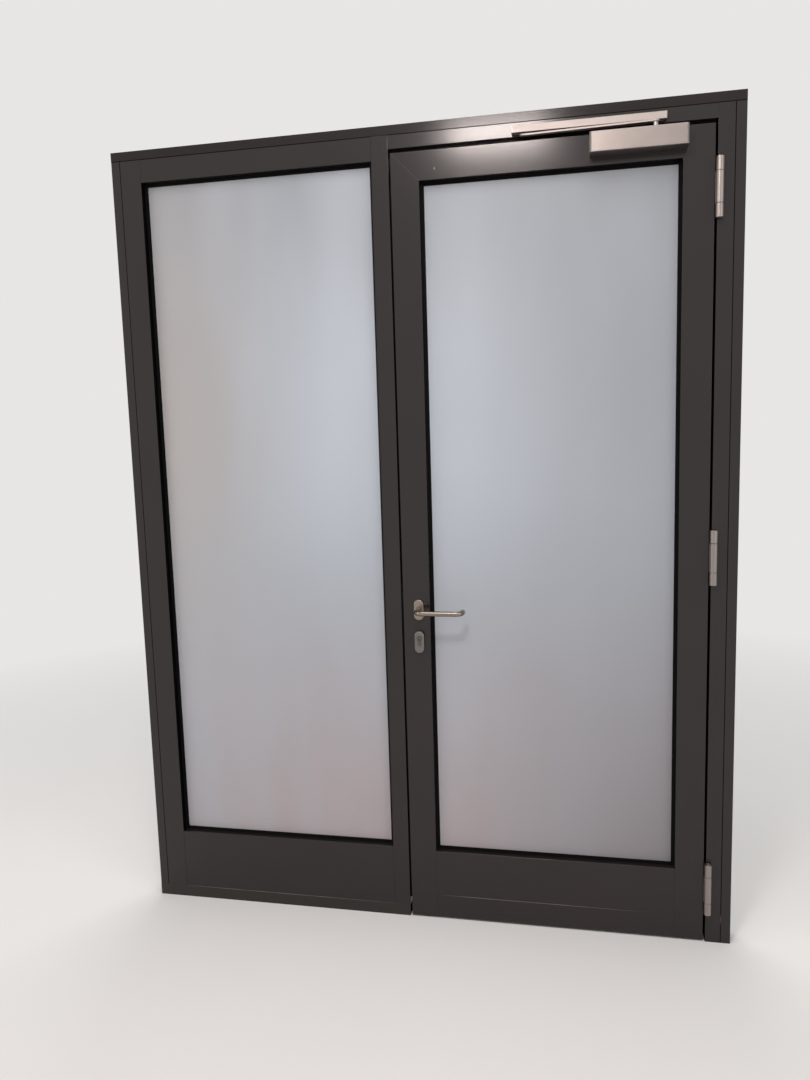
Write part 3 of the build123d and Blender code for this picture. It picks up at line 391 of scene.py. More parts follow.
def frosted_glass(name, low_z, high_z, painted_glow_x):
    """Milky satin glass with painted light: cool at its top, glowing by the mullion, warm far left,
    painted shade low right.
    """
    glass = Finish(name, Transmission_Weight=FROST_TRANSMISSION, IOR=GLASS_IOR)
    height = glass.remap(glass.along(ALONG_Z), (low_z, high_z), RISING)
    across = glass.along(ALONG_X)
    # Painted light: pinkish at the foot, light blue-grey in the middle, darker at the top
    colour = glass.blend(glass.remap(height, FOOT_HEIGHTS, RISING), FROST_BOTTOM, FROST_MIDDLE)
    colour = glass.blend(glass.remap(height, TOP_HEIGHTS, RISING), colour, FROST_TOP)
    # Painted light in soft bands
    bands = glass.remap(glass.noise(BAND_PATCH, 2.0, BAND_STRETCH), BAND_SPAN, RISING, "SMOOTHSTEP")
    share = glass.remap(across, BAND_ACROSS, BAND_SHARES)
    colour = glass.blend(glass.maths("MULTIPLY", bands, share), colour, FROST_PAINTED_LIGHT)
    # Painted glow by the mullion
    beside = glass.remap(glass.away(across, painted_glow_x), GLOW_AWAY, GLOW_SHARES, "SMOOTHSTEP")
    off_level = glass.away(height, GLOW_HEIGHT)
    level = glass.remap(off_level, GLOW_LEVEL, GLOW_LEVEL_SHARES, "SMOOTHSTEP")
    colour = glass.blend(glass.maths("MULTIPLY", beside, level), colour, FROST_PAINTED_GLOW)
    # Painted warm light on the far left
    warm = glass.remap(across, WARM_ACROSS, WARM_SHARES, "SMOOTHSTEP")
    warm = glass.maths("MULTIPLY", warm, glass.remap(off_level, WARM_LEVEL, WARM_LEVEL_SHARES))
    colour = glass.blend(warm, colour, FROST_PAINTED_WARM)
    # Painted shade low on the right
    side = glass.remap(across, SHADE_ACROSS, RISING)
    painted_shade = glass.maths("MULTIPLY", side, glass.remap(height, SHADE_HEIGHTS, SHADE_SHARES))
    colour = glass.blend(painted_shade, colour, FROST_PAINTED_SHADE)
    glass.set("Base Color", colour)
    glass.set("Roughness", glass.remap(glass.noise(FROST_GRAIN, 2.0), MOST, FROST_ROUGHNESS))
    glass.relief(glass.noise(FROST_RELIEF, 3.0), FROST_DEPTH)
    return glass.material


def clear_glass(name):
    """Float glass with a slight tint and a trace of wiping marks. It shows what is behind it."""
    glass = Finish(
        name, Transmission_Weight=1.0, IOR=GLASS_IOR, Base_Color=GLASS_TINT, Alpha=CLEAR_ALPHA
    )
    wiped = glass.noise(WIPING_PATCH, 4.0)
    glass.set("Roughness", glass.remap(wiped, WIPING_SPAN, CLEAR_ROUGHNESS))
    glass.relief(glass.noise(CLEAR_WAVE, 1.0), CLEAR_WAVE_DEPTH)
    return glass.material


def dull_surface(name, colour, roughness, grain, depth, gloss=DULL_GLOSS):
    """Rubber or moulded plastic with a fine grain."""
    surface = Finish(name, Specular_IOR_Level=gloss)
    lift = surface.remap(surface.noise(DULL_PATCH, 3.0), MOST, RISING)
    surface.set("Base Color", surface.blend(lift, colour, tuple(DULL_LIFT * c for c in colour)))
    surface.set("Roughness", surface.remap(surface.noise(grain, 2.0), MOST, roughness))
    surface.relief(surface.noise(grain, 3.0), depth)
    return surface.material


# Places read from the CAD
leaf_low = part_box("leaf_stile_lock")[0]
leaf_left, face_y = leaf_low[0], leaf_low[1]
leaf_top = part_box("leaf_rail_top")[1][2]
kick_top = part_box("leaf_kick_profile")[1][2]
base_low, base_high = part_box("base_profile")
left_jamb_low, left_jamb_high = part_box("jamb_left")
right_jamb_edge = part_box("jamb_right")[1][0]
head_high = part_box("head_door")[1]
mullion_low, mullion_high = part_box("mullion")
pane_low, pane_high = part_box("leaf_pane_front")
plug_low, plug_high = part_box("cylinder_plugs")

# Seams, joints and painted shade in the coat: direction, distance along it, width, tint
MITRE_WIDTH = 0.9 * MM
JOINT_WIDTH = 3.2 * MM
SHADED_EDGE_WIDTH = 2.0 * MM
slope = math.sqrt(0.5)
# The mitre is a real seam; its light colour is a painted highlight along it
mitre = ((slope, 0.0, slope), slope * (leaf_left + leaf_top), MITRE_WIDTH, COAT_SEAM_HIGHLIGHT)
left_joint = (ALONG_X, left_jamb_low[0], JOINT_WIDTH, COAT_JOINT_AND_SHADE)
# Painted shade on the jambs' rounded inner edges: dark, unglossed strips that hide their glint
left_edge_shade = (ALONG_X, left_jamb_high[0], SHADED_EDGE_WIDTH, COAT_JOINT_AND_SHADE)
right_edge_shade = (ALONG_X, head_high[0], SHADED_EDGE_WIDTH, COAT_JOINT_AND_SHADE)
right_joint = (ALONG_X, right_jamb_edge, JOINT_WIDTH, COAT_JOINT_AND_SHADE)
head_joint = (ALONG_Z, head_high[2], JOINT_WIDTH, COAT_JOINT_AND_SHADE)

# Painted highlights along edges, and worn places
KICK_HIGHLIGHT_LEFT = 0.05
KICK_HIGHLIGHT_RIGHT = 0.72
BASE_HIGHLIGHT_INSET = 0.06
CHIP_X = 0.0844
CHIP_Z = 2.3663
CHIP_RADIUS = 2.5 * MM
CHIP_HEIGHT = 5 * MM
RUB_Z = 0.077
RUB_RADIUS = 1.6 * MM
RUB_HEIGHT = 20 * MM
# Painted highlights along the top edges of the kick profile and the base profile
kick_highlight = highlight_line(kick_top, KICK_HIGHLIGHT_LEFT, KICK_HIGHLIGHT_RIGHT)
base_highlight = highlight_line(base_high[2], base_low[0] + BASE_HIGHLIGHT_INSET, leaf_left)
chip = worn_spot((CHIP_X, face_y, CHIP_Z), CHIP_RADIUS, CHIP_HEIGHT)
rub = worn_spot((right_jamb_edge, face_y, RUB_Z), RUB_RADIUS, RUB_HEIGHT)

coat_extension = powder_coat(
    "powder_coat_extension", X_LINES, (head_joint,), gloss=COAT_GLOSS_SHELTERED
)
coat_upright = powder_coat("powder_coat_upright", Z_LINES)
coat_left = powder_coat("powder_coat_left", Z_LINES, (left_joint, left_edge_shade, head_joint))
coat_level = powder_coat("powder_coat_level", X_LINES)
coat_head = powder_coat("powder_coat_head", X_LINES, (head_joint,))
coat_lock_stile = powder_coat("powder_coat_lock_stile", Z_LINES, (mitre,))
coat_leaf_top = powder_coat("powder_coat_leaf_top", X_LINES, (mitre,), chip)
coat_leaf_bottom = powder_coat("powder_coat_leaf_bottom", X_LINES, wear_and_highlight=kick_highlight)
coat_sill = powder_coat("powder_coat_sill", X_LINES, wear_and_highlight=base_highlight)
coat_base = powder_coat(
    "powder_coat_base", X_LINES, wear_and_highlight=base_highlight, tints=(COAT_BASE_DARK, COAT_BASE_LIGHT)
)
coat_right = powder_coat("powder_coat_right", Z_LINES, (right_joint, right_edge_shade, head_joint), rub)

# The hinge plates get painted shade from this far behind the face
HINGE_SHADE_BEHIND = 2.0 * MM
clean_aluminium = (ALUMINIUM, ALUMINIUM_DULL)
# Painted shade: the closer and the hinges get a darker copy of the aluminium
shaded_aluminium = (ALUMINIUM_SHADED, ALUMINIUM_SHADED_DULL)
anodised_level = satin_metal(
    "anodised_level", clean_aluminium, roughness=(0.46, 0.54), lines=X_LINES, line_size=0.7 * MM,
    depth=0.004 * MM,
)
anodised_upright = satin_metal(
    "anodised_upright", clean_aluminium, roughness=(0.40, 0.48), lines=Z_LINES, line_size=0.5 * MM,
    depth=0.004 * MM,
)
closer_metal = satin_metal(
    "closer_metal", shaded_aluminium, roughness=(0.31, 0.38), lines=X_LINES, line_size=0.7 * MM,
    depth=0.003 * MM,
)
hinge_metal = satin_metal(
    "hinge_metal", shaded_aluminium, roughness=(0.34, 0.42), lines=Z_LINES, line_size=0.5 * MM,
    depth=0.004 * MM, shade_behind=face_y - HINGE_SHADE_BEHIND,
)
mill_aluminium = satin_metal(
    "mill_aluminium", clean_aluminium, roughness=(0.40, 0.50), lines=Z_LINES, line_size=1.0 * MM,
    depth=0.008 * MM,
)
brushed_steel = satin_metal(
    "brushed_steel", (STEEL, STEEL_DULL), roughness=(0.18, 0.25), lines=X_LINES,
    line_size=0.35 * MM, depth=0.004 * MM,
)
brushed_rose = satin_metal(
    "brushed_rose", (ROSE_STEEL, ROSE_STEEL_DULL), roughness=(0.26, 0.34), lines=Z_LINES,
    line_size=0.35 * MM, depth=0.004 * MM,
)
satin_nickel = satin_metal(
    "satin_nickel", (SATIN_NICKEL, SATIN_NICKEL_DULL), roughness=(0.26, 0.34), lines=Z_LINES,
    line_size=0.35 * MM, depth=0.004 * MM,
)
# Near-black steel on the strike plate: painted shade in the gap beside the leaf
gap_shade = satin_metal(
    "blackened_steel", (STEEL_SHADE_BLACK, STEEL_SHADE_BLACK), roughness=(0.50, 0.60), lines=Z_LINES,
    line_size=0.5 * MM, depth=0.004 * MM,
)
zinc_steel = satin_metal(
    "zinc_steel", (ZINC, STEEL_DULL), roughness=(0.34, 0.44), lines=Z_LINES, line_size=1.0 * MM,
    depth=0.006 * MM,
)
nickel = nickel_on_brass("nickel_on_brass", plug_low[2])
rubber = dull_surface(
    "gasket_rubber", RUBBER_BLACK, roughness=(0.62, 0.78), grain=0.5 * MM, depth=0.01 * MM,
    gloss=RUBBER_GLOSS,
)
spacer = dull_surface(
    "spacer_metal", SPACER_GREY, roughness=(0.45, 0.55), grain=1.0 * MM, depth=0.006 * MM
)
plastic_black = dull_surface(
    "black_plastic", PLASTIC_BLACK, roughness=(0.42, 0.55), grain=0.6 * MM, depth=0.01 * MM
)
pile = dull_surface(
    "brush_pile", PILE_BLACK, roughness=(0.80, 0.90), grain=0.4 * MM, depth=0.02 * MM
)
clear = clear_glass("clear_glass")
frosted = frosted_glass(
    "frosted_glass", pane_low[2], pane_high[2], (mullion_low[0] + mullion_high[0]) / 2
)

FINISHES = {
    coat_upright: ["mullion", "leaf_stile_hinge", "side_light_beads_upright", "leaf_beads_upright"],
    coat_left: ["extension_left", "jamb_left"],
    coat_extension: ["extension_head"],
    coat_head: ["head_side_light", "head_door"],
    coat_right: ["extension_right", "jamb_right"],
    coat_base: ["base_profile"],
    coat_sill: ["side_light_sill"],
    coat_lock_stile: ["leaf_stile_lock"],
    coat_level: ["side_light_beads_level", "leaf_beads_level"],
    coat_leaf_top: ["leaf_rail_top"],
    coat_leaf_bottom: ["leaf_rail_bottom", "leaf_kick_profile"],
    mill_aluminium: ["corner_cleats"],
    closer_metal: ["closer_body", "closer_end_caps"],
    anodised_level: ["slide_rail", "closer_arm"],
    anodised_upright: ["rail_end_caps"],
    hinge_metal: ["hinge_frame_wings", "hinge_leaf_wings"],
    brushed_steel: ["lever_front", "lever_back"],
    brushed_rose: ["lever_roses", "lock_faceplate"],
    satin_nickel: ["cylinder_roses"],
    gap_shade: ["strike_plate"],
    zinc_steel: [
        "hinge_pins", "lever_spindle", "lock_follower", "lock_case", "latch_bolt", "dead_bolt",
        "closer_shaft", "lock_screws",
    ],
    nickel: ["cylinder_body", "cylinder_plugs", "cylinder_cam"],
    rubber: [
        "side_light_gasket_front", "side_light_gasket_back", "leaf_gasket_front",
        "leaf_gasket_back", "rebate_seal",
    ],
    spacer: ["side_light_spacer", "leaf_spacer"],
    plastic_black: [
        "hinge_washers", "side_light_setting_blocks", "leaf_setting_blocks", "rail_slider",
    ],
    pile: ["leaf_sweep_seal"],
    clear: ["side_light_pane_back", "leaf_pane_back"],
    frosted: ["side_light_pane_front", "leaf_pane_front"],
}

for finish, names in FINISHES.items():
    for name in names:
        mesh = nodes[name].data
        mesh.materials.clear()
        mesh.materials.append(finish)

# Rounded copies of the hardware, shown in place of the CAD's sharp edges, and their radii
ROUNDED = {
    "closer_body": 0.5 * MM,
    "closer_end_caps": 0.4 * MM,
    "closer_arm": 0.4 * MM,
    "slide_rail": 0.3 * MM,
    "rail_end_caps": 0.4 * MM,
    "hinge_frame_wings": 0.8 * MM,
    "hinge_leaf_wings": 0.8 * MM,
    "lever_front": 0.4 * MM,
    "lever_back": 0.4 * MM,
    "lever_roses": 0.8 * MM,
    "cylinder_roses": 0.8 * MM,
    "lock_faceplate": 0.25 * MM,
    "strike_plate": 0.25 * MM,
    "latch_bolt": 0.5 * MM,
    "dead_bolt": 0.5 * MM,
}
ROUND_STEPS = 3
SHARP_ANGLE = math.radians(28)
FLAT_ANGLE = math.radians(0.5)
WELD_DISTANCE = 0.001 * MM
bodies = frame["record"]["behaviour"]["bodies"]
body_of_node = {node: body for body, members in bodies.items() for node in members}


def in_scene(name, mesh):
    piece = bpy.data.objects.new(name, mesh)
    bpy.context.scene.collection.objects.link(piece)
    return piece


def welded(node):
    """Closed copy of a CAD node's loose triangles."""
    bm = bmesh.new()
    bm.from_mesh(nodes[node].data)
    bmesh.ops.remove_doubles(bm, verts=bm.verts, dist=WELD_DISTANCE)
    return bm


def solid_boxes(node):
    """(lowest corner, highest corner) of each separate solid in a CAD node, from the bottom up."""
    bm = welded(node)
    boxes = []
    waiting = set(bm.verts)
    while waiting:
        reached = [waiting.pop()]
        corners = []
        while reached:
            vert = reached.pop()
            corners.append(tuple(vert.co))
            near = {edge.other_vert(vert) for edge in vert.link_edges} & waiting
            waiting -= near
            reached.extend(near)
        axes = list(zip(*corners))
        boxes.append((tuple(min(axis) for axis in axes), tuple(max(axis) for axis in axes)))
    bm.free()
    return sorted(boxes, key=lambda box: box[0][2])


def rounded(node, radius):
    """Show a copy of a CAD node whose edges are rounded to a radius."""
    bm = welded(node)
    bmesh.ops.dissolve_limit(bm, angle_limit=FLAT_ANGLE, verts=bm.verts, edges=bm.edges)
    for face in bm.faces:
        face.smooth = True
    mesh = bpy.data.meshes.new(f"{node}_rounded")
    bm.to_mesh(mesh)
    bm.free()
    mesh.materials.append(nodes[node].data.materials[0])
    piece = in_scene(mesh.name, mesh)
    edges = piece.modifiers.new("rounded_edges", "BEVEL")
    edges.width = radius
    edges.segments = ROUND_STEPS
    edges.limit_method = "ANGLE"
    edges.angle_limit = SHARP_ANGLE
    flats = piece.modifiers.new("flat_faces", "WEIGHTED_NORMAL")
    flats.keep_sharp = True
    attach(piece, body_of_node[node])
    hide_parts(node)


for node, radius in ROUNDED.items():
    rounded(node, radius)


class Pattern(NodeWork):
    """A geometry tree with named inputs. It ends by making instances real, in one material."""

    def __init__(self, name, **defaults):
        super().__init__(bpy.data.node_groups.new(name, "GeometryNodeTree"))
        interface = self.tree.interface
        interface.new_socket("Geometry", in_out="INPUT", socket_type="NodeSocketGeometry")
        interface.new_socket("Material", in_out="INPUT", socket_type="NodeSocketMaterial")
        interface.new_socket("Geometry", in_out="OUTPUT", socket_type="NodeSocketGeometry")
        for socket, value in defaults.items():
            kind = "NodeSocketInt" if isinstance(value, int) else "NodeSocketFloat"
            added = interface.new_socket(socket.replace("_", " "), in_out="INPUT", socket_type=kind)
            added.default_value = value
        self.inputs = self.node("NodeGroupInput").outputs

    def raised(self, geometry, height):
        """Geometry moved up by a height."""
        place = self.node("ShaderNodeCombineXYZ", {"Z": height}).outputs[0]
        inputs = {"Geometry": geometry, "Translation": place}
        return self.node("GeometryNodeTransform", inputs).outputs[0]

    def joined(self, *parts):
        join = self.node("GeometryNodeJoinGeometry")
        for part in parts:
            self.tree.links.new(part, join.inputs[0])
        return join.outputs[0]

    def finish(self, instances):
        real = self.node("GeometryNodeRealizeInstances", {"Geometry": instances}).outputs[0]
        inputs = {"Geometry": real, "Material": self.inputs["Material"]}
        covered = self.node("GeometryNodeSetMaterial", inputs).outputs[0]
        self.node("NodeGroupOutput", {"Geometry": covered})
        return self.tree


def grown(name, pattern, points, body, material, slot, **inputs):
    """Piece that a pattern makes on points, each given as a place and the way it faces."""
    mesh = bpy.data.meshes.new(name)
    mesh.from_pydata([place for place, way in points], [], [])
    facing = mesh.attributes.new("facing", "FLOAT_VECTOR", "POINT")
    facing.data.foreach_set("vector", [number for place, way in points for number in way])
    piece = in_scene(name, mesh)
    modifier = piece.modifiers.new("pattern", "NODES")
    modifier.node_group = pattern
    values = {socket.replace("_", " "): value for socket, value in inputs.items()}
    values["Material"] = material
    for socket in pattern.interface.items_tree:
        if socket.in_out == "INPUT" and socket.name in values:
            modifier[socket.identifier] = values[socket.name]
    bpy.context.view_layer.update()
    evaluated = piece.evaluated_get(bpy.context.evaluated_depsgraph_get())
    piece.data = bpy.data.meshes.new_from_object(evaluated)
    piece.modifiers.remove(modifier)
    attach(piece, body)
    return piece


# Screws: sides of each part, and how deep the socket and the shank go in, in heights of the head
HEAD_SIDES = 28
SOCKET_SIDES = 6
SHANK_SIDES = 16
SOCKET_DEEP = 1.4
SHANK_SUNK = 0.4
LOCK_HEAD_RADIUS = 4.2 * MM


def screw_pattern():
    """Countersunk screws with a hexagon socket, each with its face in its point, turned its way."""
    work = Pattern(
        "screws", Head_Radius=LOCK_HEAD_RADIUS, Head_Height=2.0 * MM, Shank_Radius=2.2 * MM,
        Shank_Length=12.0 * MM, Socket_Radius=1.7 * MM, Proud=0.0,
    )
    given = work.inputs
    inputs = {
        "Vertices": HEAD_SIDES, "Radius Top": given["Head Radius"],
        "Radius Bottom": given["Shank Radius"], "Depth": given["Head Height"],
    }
    head = work.node("GeometryNodeMeshCone", inputs).outputs["Mesh"]
    head = work.raised(head, work.maths("SUBTRACT", given["Proud"], given["Head Height"]))
    depth = work.maths("MULTIPLY", given["Head Height"], SOCKET_DEEP)
    inputs = {"Vertices": SOCKET_SIDES, "Radius": given["Socket Radius"], "Depth": depth}
    socket = work.node("GeometryNodeMeshCylinder", inputs).outputs["Mesh"]
    socket = work.raised(socket, given["Proud"])
    inputs = {"Mesh 1": head, "Mesh 2": socket}
    settings = {"operation": "DIFFERENCE", "solver": "EXACT"}
    head = work.node("GeometryNodeMeshBoolean", inputs, **settings).outputs["Mesh"]
    inputs = {
        "Vertices": SHANK_SIDES, "Radius": given["Shank Radius"], "Depth": given["Shank Length"],
    }
    shank = work.node("GeometryNodeMeshCylinder", inputs).outputs["Mesh"]
    whole = work.maths("ADD", given["Shank Length"], given["Head Height"])
    below = work.maths("MULTIPLY", whole, -0.5)
    sunk = work.maths("MULTIPLY", given["Head Height"], SHANK_SUNK)
    shank = work.raised(shank, work.maths("SUBTRACT", below, sunk))
    facing = work.node(
        "GeometryNodeInputNamedAttribute", {"Name": "facing"}, data_type="FLOAT_VECTOR"
    ).outputs[0]
    turn = work.node("FunctionNodeAlignRotationToVector", {"Vector": facing}, axis="Z").outputs[0]
    inputs = {"Points": given["Geometry"], "Instance": work.joined(shank, head), "Rotation": turn}
    return work.finish(work.node("GeometryNodeInstanceOnPoints", inputs).outputs[0])


# Bristles: sides, and the tip's radius as a share of the root's
BRISTLE_SIDES = 4
BRISTLE_TIP = 0.5


def brush_pattern():
    """Strip of bristles that hang from a holder, each tilted a little its own way."""
    work = Pattern(
        "brush_strip", Strip_Length=0.9, Strip_Depth=4.6 * MM, Bristles_Along=480, Rows=3,
        Holder_Depth=6.0 * MM, Holder_Height=7.0 * MM, Bristle_Length=5.0 * MM,
        Bristle_Radius=0.3 * MM, Tilt=0.12, Seed=3,
    )
    given = work.inputs
    inputs = {
        "Vertices": BRISTLE_SIDES,
        "Radius Top": work.maths("MULTIPLY", given["Bristle Radius"], BRISTLE_TIP),
        "Radius Bottom": given["Bristle Radius"], "Depth": given["Bristle Length"],
    }
    bristle = work.node("GeometryNodeMeshCone", inputs).outputs["Mesh"]
    back = work.maths("MULTIPLY", given["Tilt"], -1.0)
    inputs = {"X": work.maths("ADD", back, math.pi), "Y": back}
    low = work.node("ShaderNodeCombineXYZ", inputs).outputs[0]
    inputs = {"X": work.maths("ADD", given["Tilt"], math.pi), "Y": given["Tilt"], "Z": math.pi}
    high = work.node("ShaderNodeCombineXYZ", inputs).outputs[0]
    inputs = {0: low, 1: high, "Seed": given["Seed"]}
    tilt = work.node("FunctionNodeRandomValue", inputs, data_type="FLOAT_VECTOR").outputs[0]
    inputs = {
        "Size X": given["Strip Length"], "Size Y": given["Strip Depth"],
        "Vertices X": given["Bristles Along"], "Vertices Y": given["Rows"],
    }
    roots = work.node("GeometryNodeMeshGrid", inputs).outputs["Mesh"]
    inputs = {"Points": roots, "Instance": bristle, "Rotation": tilt}
    bristles = work.node("GeometryNodeInstanceOnPoints", inputs).outputs[0]
    inputs = {"X": given["Strip Length"], "Y": given["Holder Depth"], "Z": given["Holder Height"]}
    size = work.node("ShaderNodeCombineXYZ", inputs).outputs[0]
    holder = work.node("GeometryNodeMeshCube", {"Size": size}).outputs["Mesh"]
    holder = work.raised(holder, work.maths("MULTIPLY", given["Holder Height"], 0.5))
    strip = work.joined(bristles, holder)
    inputs = {"Points": given["Geometry"], "Instance": strip}
    return work.finish(work.node("GeometryNodeInstanceOnPoints", inputs).outputs[0])


# Screws of the lock, the strike and the hinges, and the grub screws of the lever handles
CYLINDER_HEAD_RADIUS = 3.8 * MM
HINGE_HEAD_RADIUS = 3.4 * MM
GRUB_RADIUS = 1.7 * MM
GRUB_SOCKET_RADIUS = 0.9 * MM
GRUB_LENGTH = 3.0 * MM
GRUB_PROUD = 0.1 * MM
PROUD_OF_PLATE = 0.2 * MM
COLLAR_RADIUS = 9.0 * MM
HINGE_SCREW_REACH = (-0.38, -0.14, 0.14, 0.38)
HINGE_SCREW_SIDESTEP = 5.0 * MM
HINGE_PLATE_INSET = 1.0 * MM
HINGE_BARREL_DEPTH = 5.0 * MM
GRUB_FROM_ROSE = 3.2 * MM

screws = screw_pattern()
plate_low, plate_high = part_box("lock_screws")
plate_y = (plate_low[1] + plate_high[1]) / 2
plate_heights = (plate_low[2] + LOCK_HEAD_RADIUS, plate_high[2] - LOCK_HEAD_RADIUS)
lock_points = [((leaf_left, plate_y, z), (-1, 0, 0)) for z in plate_heights]
faceplate_screws = grown("faceplate_screws", screws, lock_points, "leaf", zinc_steel, "inner_steel")
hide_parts("lock_screws")

strike_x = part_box("strike_plate")[1][0]
strike_points = [((strike_x, plate_y, z), (1, 0, 0)) for z in plate_heights]
grown("strike_screws", screws, strike_points, "frame", zinc_steel, "inner_steel")

cylinder_z = (plug_low[2] + plug_high[2]) / 2
cylinder_points = [((leaf_left, plate_y, cylinder_z), (-1, 0, 0))]
grown(
    "cylinder_fixing_screw", screws, cylinder_points, "leaf", zinc_steel, "inner_steel",
    Head_Radius=CYLINDER_HEAD_RADIUS, Proud=PROUD_OF_PLATE,
)


def hinge_screw_points(node, way):
    """Places and ways of the screws in the bare side of a node's hinge plates, staggered."""
    behind = face_y + HINGE_BARREL_DEPTH
    across = [vert.co.x for vert in nodes[node].data.vertices if vert.co.y > behind]
    x = max(across) if way > 0 else min(across)
    points = []
    for low, high in solid_boxes("hinge_leaf_wings"):
        middle_y = (face_y + HINGE_PLATE_INSET + high[1]) / 2
        middle_z = (low[2] + high[2]) / 2
        sidestep = HINGE_SCREW_SIDESTEP
        for reach in HINGE_SCREW_REACH:
            z = middle_z + reach * (high[2] - low[2])
            points.append(((x, middle_y + sidestep, z), (way, 0, 0)))
            sidestep = -sidestep
    return points


for name, node, way, body in (
    ("hinge_screws_frame", "hinge_frame_wings", -1, "frame"),
    ("hinge_screws_leaf", "hinge_leaf_wings", 1, "leaf"),
):
    grown(
        name, screws, hinge_screw_points(node, way), body, zinc_steel, "inner_steel",
        Head_Radius=HINGE_HEAD_RADIUS, Proud=PROUD_OF_PLATE,
    )

rose_low, rose_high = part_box("lever_roses")
grub_x = (rose_low[0] + rose_high[0]) / 2
grub_z = (rose_low[2] + rose_high[2]) / 2 - COLLAR_RADIUS
grub_depths = (rose_low[1] - GRUB_FROM_ROSE, rose_high[1] + GRUB_FROM_ROSE)
grub_points = [((grub_x, y, grub_z), (0, 0, -1)) for y in grub_depths]
grown(
    "lever_grub_screws", screws, grub_points, "levers", zinc_steel, "inner_steel",
    Head_Radius=GRUB_RADIUS, Shank_Radius=GRUB_RADIUS, Socket_Radius=GRUB_SOCKET_RADIUS,
    Shank_Length=GRUB_LENGTH, Proud=GRUB_PROUD,
)

# Brush under the leaf
BRUSH_RISE = 1.0 * MM
BRUSH_END_GAPS = 1.0 * MM
seal_low, seal_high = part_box("leaf_sweep_seal")
brush_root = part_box("leaf_kick_profile")[0][2] + BRUSH_RISE
brush_place = ((seal_low[0] + seal_high[0]) / 2, (seal_low[1] + seal_high[1]) / 2, brush_root)
brush = grown(
    "sweep_brush", brush_pattern(), [(brush_place, (0, 0, 1))], "leaf", pile, "brush_fibre",
    Strip_Length=seal_high[0] - seal_low[0] - BRUSH_END_GAPS,
    Holder_Height=seal_high[2] - brush_root,
)
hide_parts("leaf_sweep_seal")


# Floor that fades into the pale world from a near distance to a far one
FLOOR_REACH = 14.0
FLOOR_NEAR = 1.3
FLOOR_FAR = 4.5
FLOOR_PATCH = 1.5
FLOOR_LIFT = 1.03
FLOOR_ROUGHNESS = 0.8
FLOOR_SPECULAR = 0.2
FLOOR_SIDES = 96

# World and lamps. The ceiling panel's target is just off the point below it, to fix its turn.
PALE = 0.80
AMBIENT = 0.55
LAMP_WHITE = (1.0, 0.98, 0.96)
LAMP_WARM = (1.0, 0.89, 0.85)
SET_MIDDLE = (0.0, 0.0, 1.2)
PANEL_PLACE = (0.10, -1.78, 3.0)
PANEL_TARGET = (0.10, -1.779, 0.0)
SEEN_RAYS = ("Is Camera Ray", "Is Glossy Ray", "Is Transmission Ray")


def seen_directly(work):
    """1 where a camera, a reflection or a look through glass meets the surface, otherwise 0."""
    path = work.node("ShaderNodeLightPath")
    seen = path.outputs[SEEN_RAYS[0]]
    for ray in SEEN_RAYS[1:]:
        seen = work.maths("MAXIMUM", seen, path.outputs[ray])
    return seen


def floor():
    stone = Finish("pale_floor", Roughness=FLOOR_ROUGHNESS, Specular_IOR_Level=FLOOR_SPECULAR)
    tone = stone.remap(stone.noise(FLOOR_PATCH, 2.0), MOST, RISING)
    lifted = tuple(FLOOR_LIFT * c for c in FLOOR_PALE)
    stone.set("Base Color", stone.blend(tone, FLOOR_PALE, lifted))
    far = stone.node("ShaderNodeVectorMath", {0: stone.place}, operation="LENGTH").outputs["Value"]
    fade = stone.remap(far, (FLOOR_NEAR, FLOOR_FAR), RISING)
    share = stone.maths("MULTIPLY", fade, seen_directly(stone))
    glow = stone.node("ShaderNodeEmission", {"Color": WORLD_COLOUR, "Strength": PALE}).outputs[0]
    inputs = {0: share, 1: stone.shader.outputs[0], 2: glow}
    mixed = stone.node("ShaderNodeMixShader", inputs).outputs[0]
    stone.feed(stone.tree.nodes["Material Output"].inputs["Surface"], mixed)
    bm = bmesh.new()
    bmesh.ops.create_circle(bm, cap_ends=True, segments=FLOOR_SIDES, radius=FLOOR_REACH)
    mesh = bpy.data.meshes.new("floor")
    bm.to_mesh(mesh)
    bm.free()
    mesh.materials.append(stone.material)
    in_scene("floor", mesh)


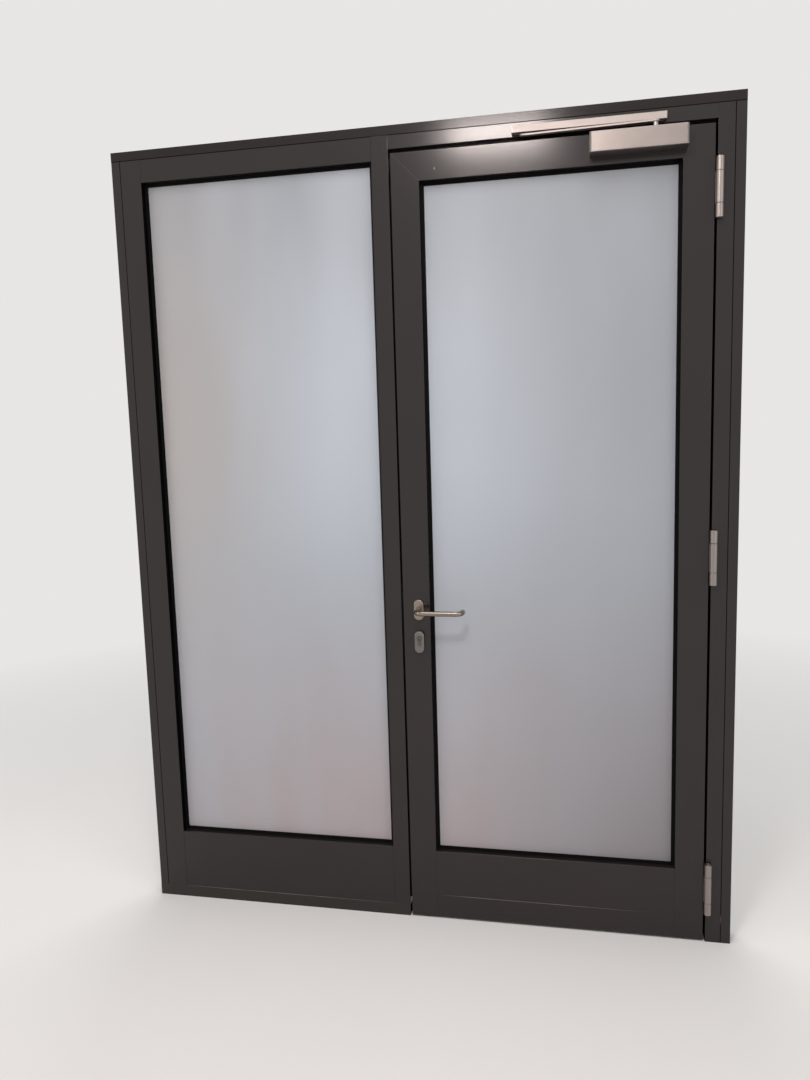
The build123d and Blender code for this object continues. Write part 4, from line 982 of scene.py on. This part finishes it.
def pale_world():
    """World that cameras, reflections and glass see as pale. It lights the scene less brightly."""
    world = bpy.data.worlds.new("pale_world")
    world.use_nodes = True
    work = NodeWork(world.node_tree)
    sky = work.tree.nodes["Background"]
    work.feed(sky.inputs["Color"], WORLD_COLOUR)
    inputs = {"Value": seen_directly(work), "To Min": AMBIENT, "To Max": PALE}
    work.feed(sky.inputs["Strength"], work.node("ShaderNodeMapRange", inputs).outputs["Result"])
    bpy.context.scene.world = world


def soft_lamp(name, place, target, size, power, colour=LAMP_WHITE):
    """Rectangular area lamp at a place, turned to a target. Its power is in watts."""
    light = bpy.data.lights.new(name, "AREA")
    light.shape = "RECTANGLE"
    light.size, light.size_y = size
    light.energy = power
    light.color = colour
    lamp = bpy.data.objects.new(name, light)
    lamp.location = place
    lamp.rotation_euler = (Vector(target) - Vector(place)).to_track_quat("-Z", "Y").to_euler()
    bpy.context.scene.collection.objects.link(lamp)


def camera():
    data = bpy.data.cameras.new("photo_camera")
    data.sensor_fit = "VERTICAL"
    data.sensor_height = CAMERA_SENSOR
    data.lens = CAMERA_LENS
    data.clip_start = CLIP_START
    data.clip_end = CLIP_END
    eye = bpy.data.objects.new("photo_camera", data)
    turn = Matrix.Rotation(math.radians(CAMERA_TURN), 4, "Z")
    tilt = Matrix.Rotation(math.radians(CAMERA_TILT), 4, "X")
    roll = Matrix.Rotation(math.radians(CAMERA_ROLL), 4, "Y")
    level_view = Matrix.Rotation(math.radians(90), 4, "X")
    eye.matrix_world = Matrix.Translation(CAMERA_PLACE) @ turn @ tilt @ roll @ level_view
    bpy.context.scene.collection.objects.link(eye)
    bpy.context.scene.camera = eye


floor()
pale_world()
soft_lamp(
    "ceiling_panel", PANEL_PLACE, PANEL_TARGET, size=(0.46, 0.34), power=29.0, colour=LAMP_WARM
)
soft_lamp("top_softbox", (0.3, -1.7, 4.0), SET_MIDDLE, size=(3.0, 1.6), power=34.0)
soft_lamp("left_softbox", (-3.8, -2.0, 2.2), SET_MIDDLE, size=(1.8, 2.2), power=26.0)
soft_lamp("right_softbox", (3.4, -2.4, 2.2), SET_MIDDLE, size=(1.6, 2.2), power=20.0)
soft_lamp("back_softbox", (-0.3, 2.3, 4.6), SET_MIDDLE, size=(2.6, 1.4), power=60.0)
camera()

scene = bpy.context.scene
scene.view_settings.view_transform = "Standard"
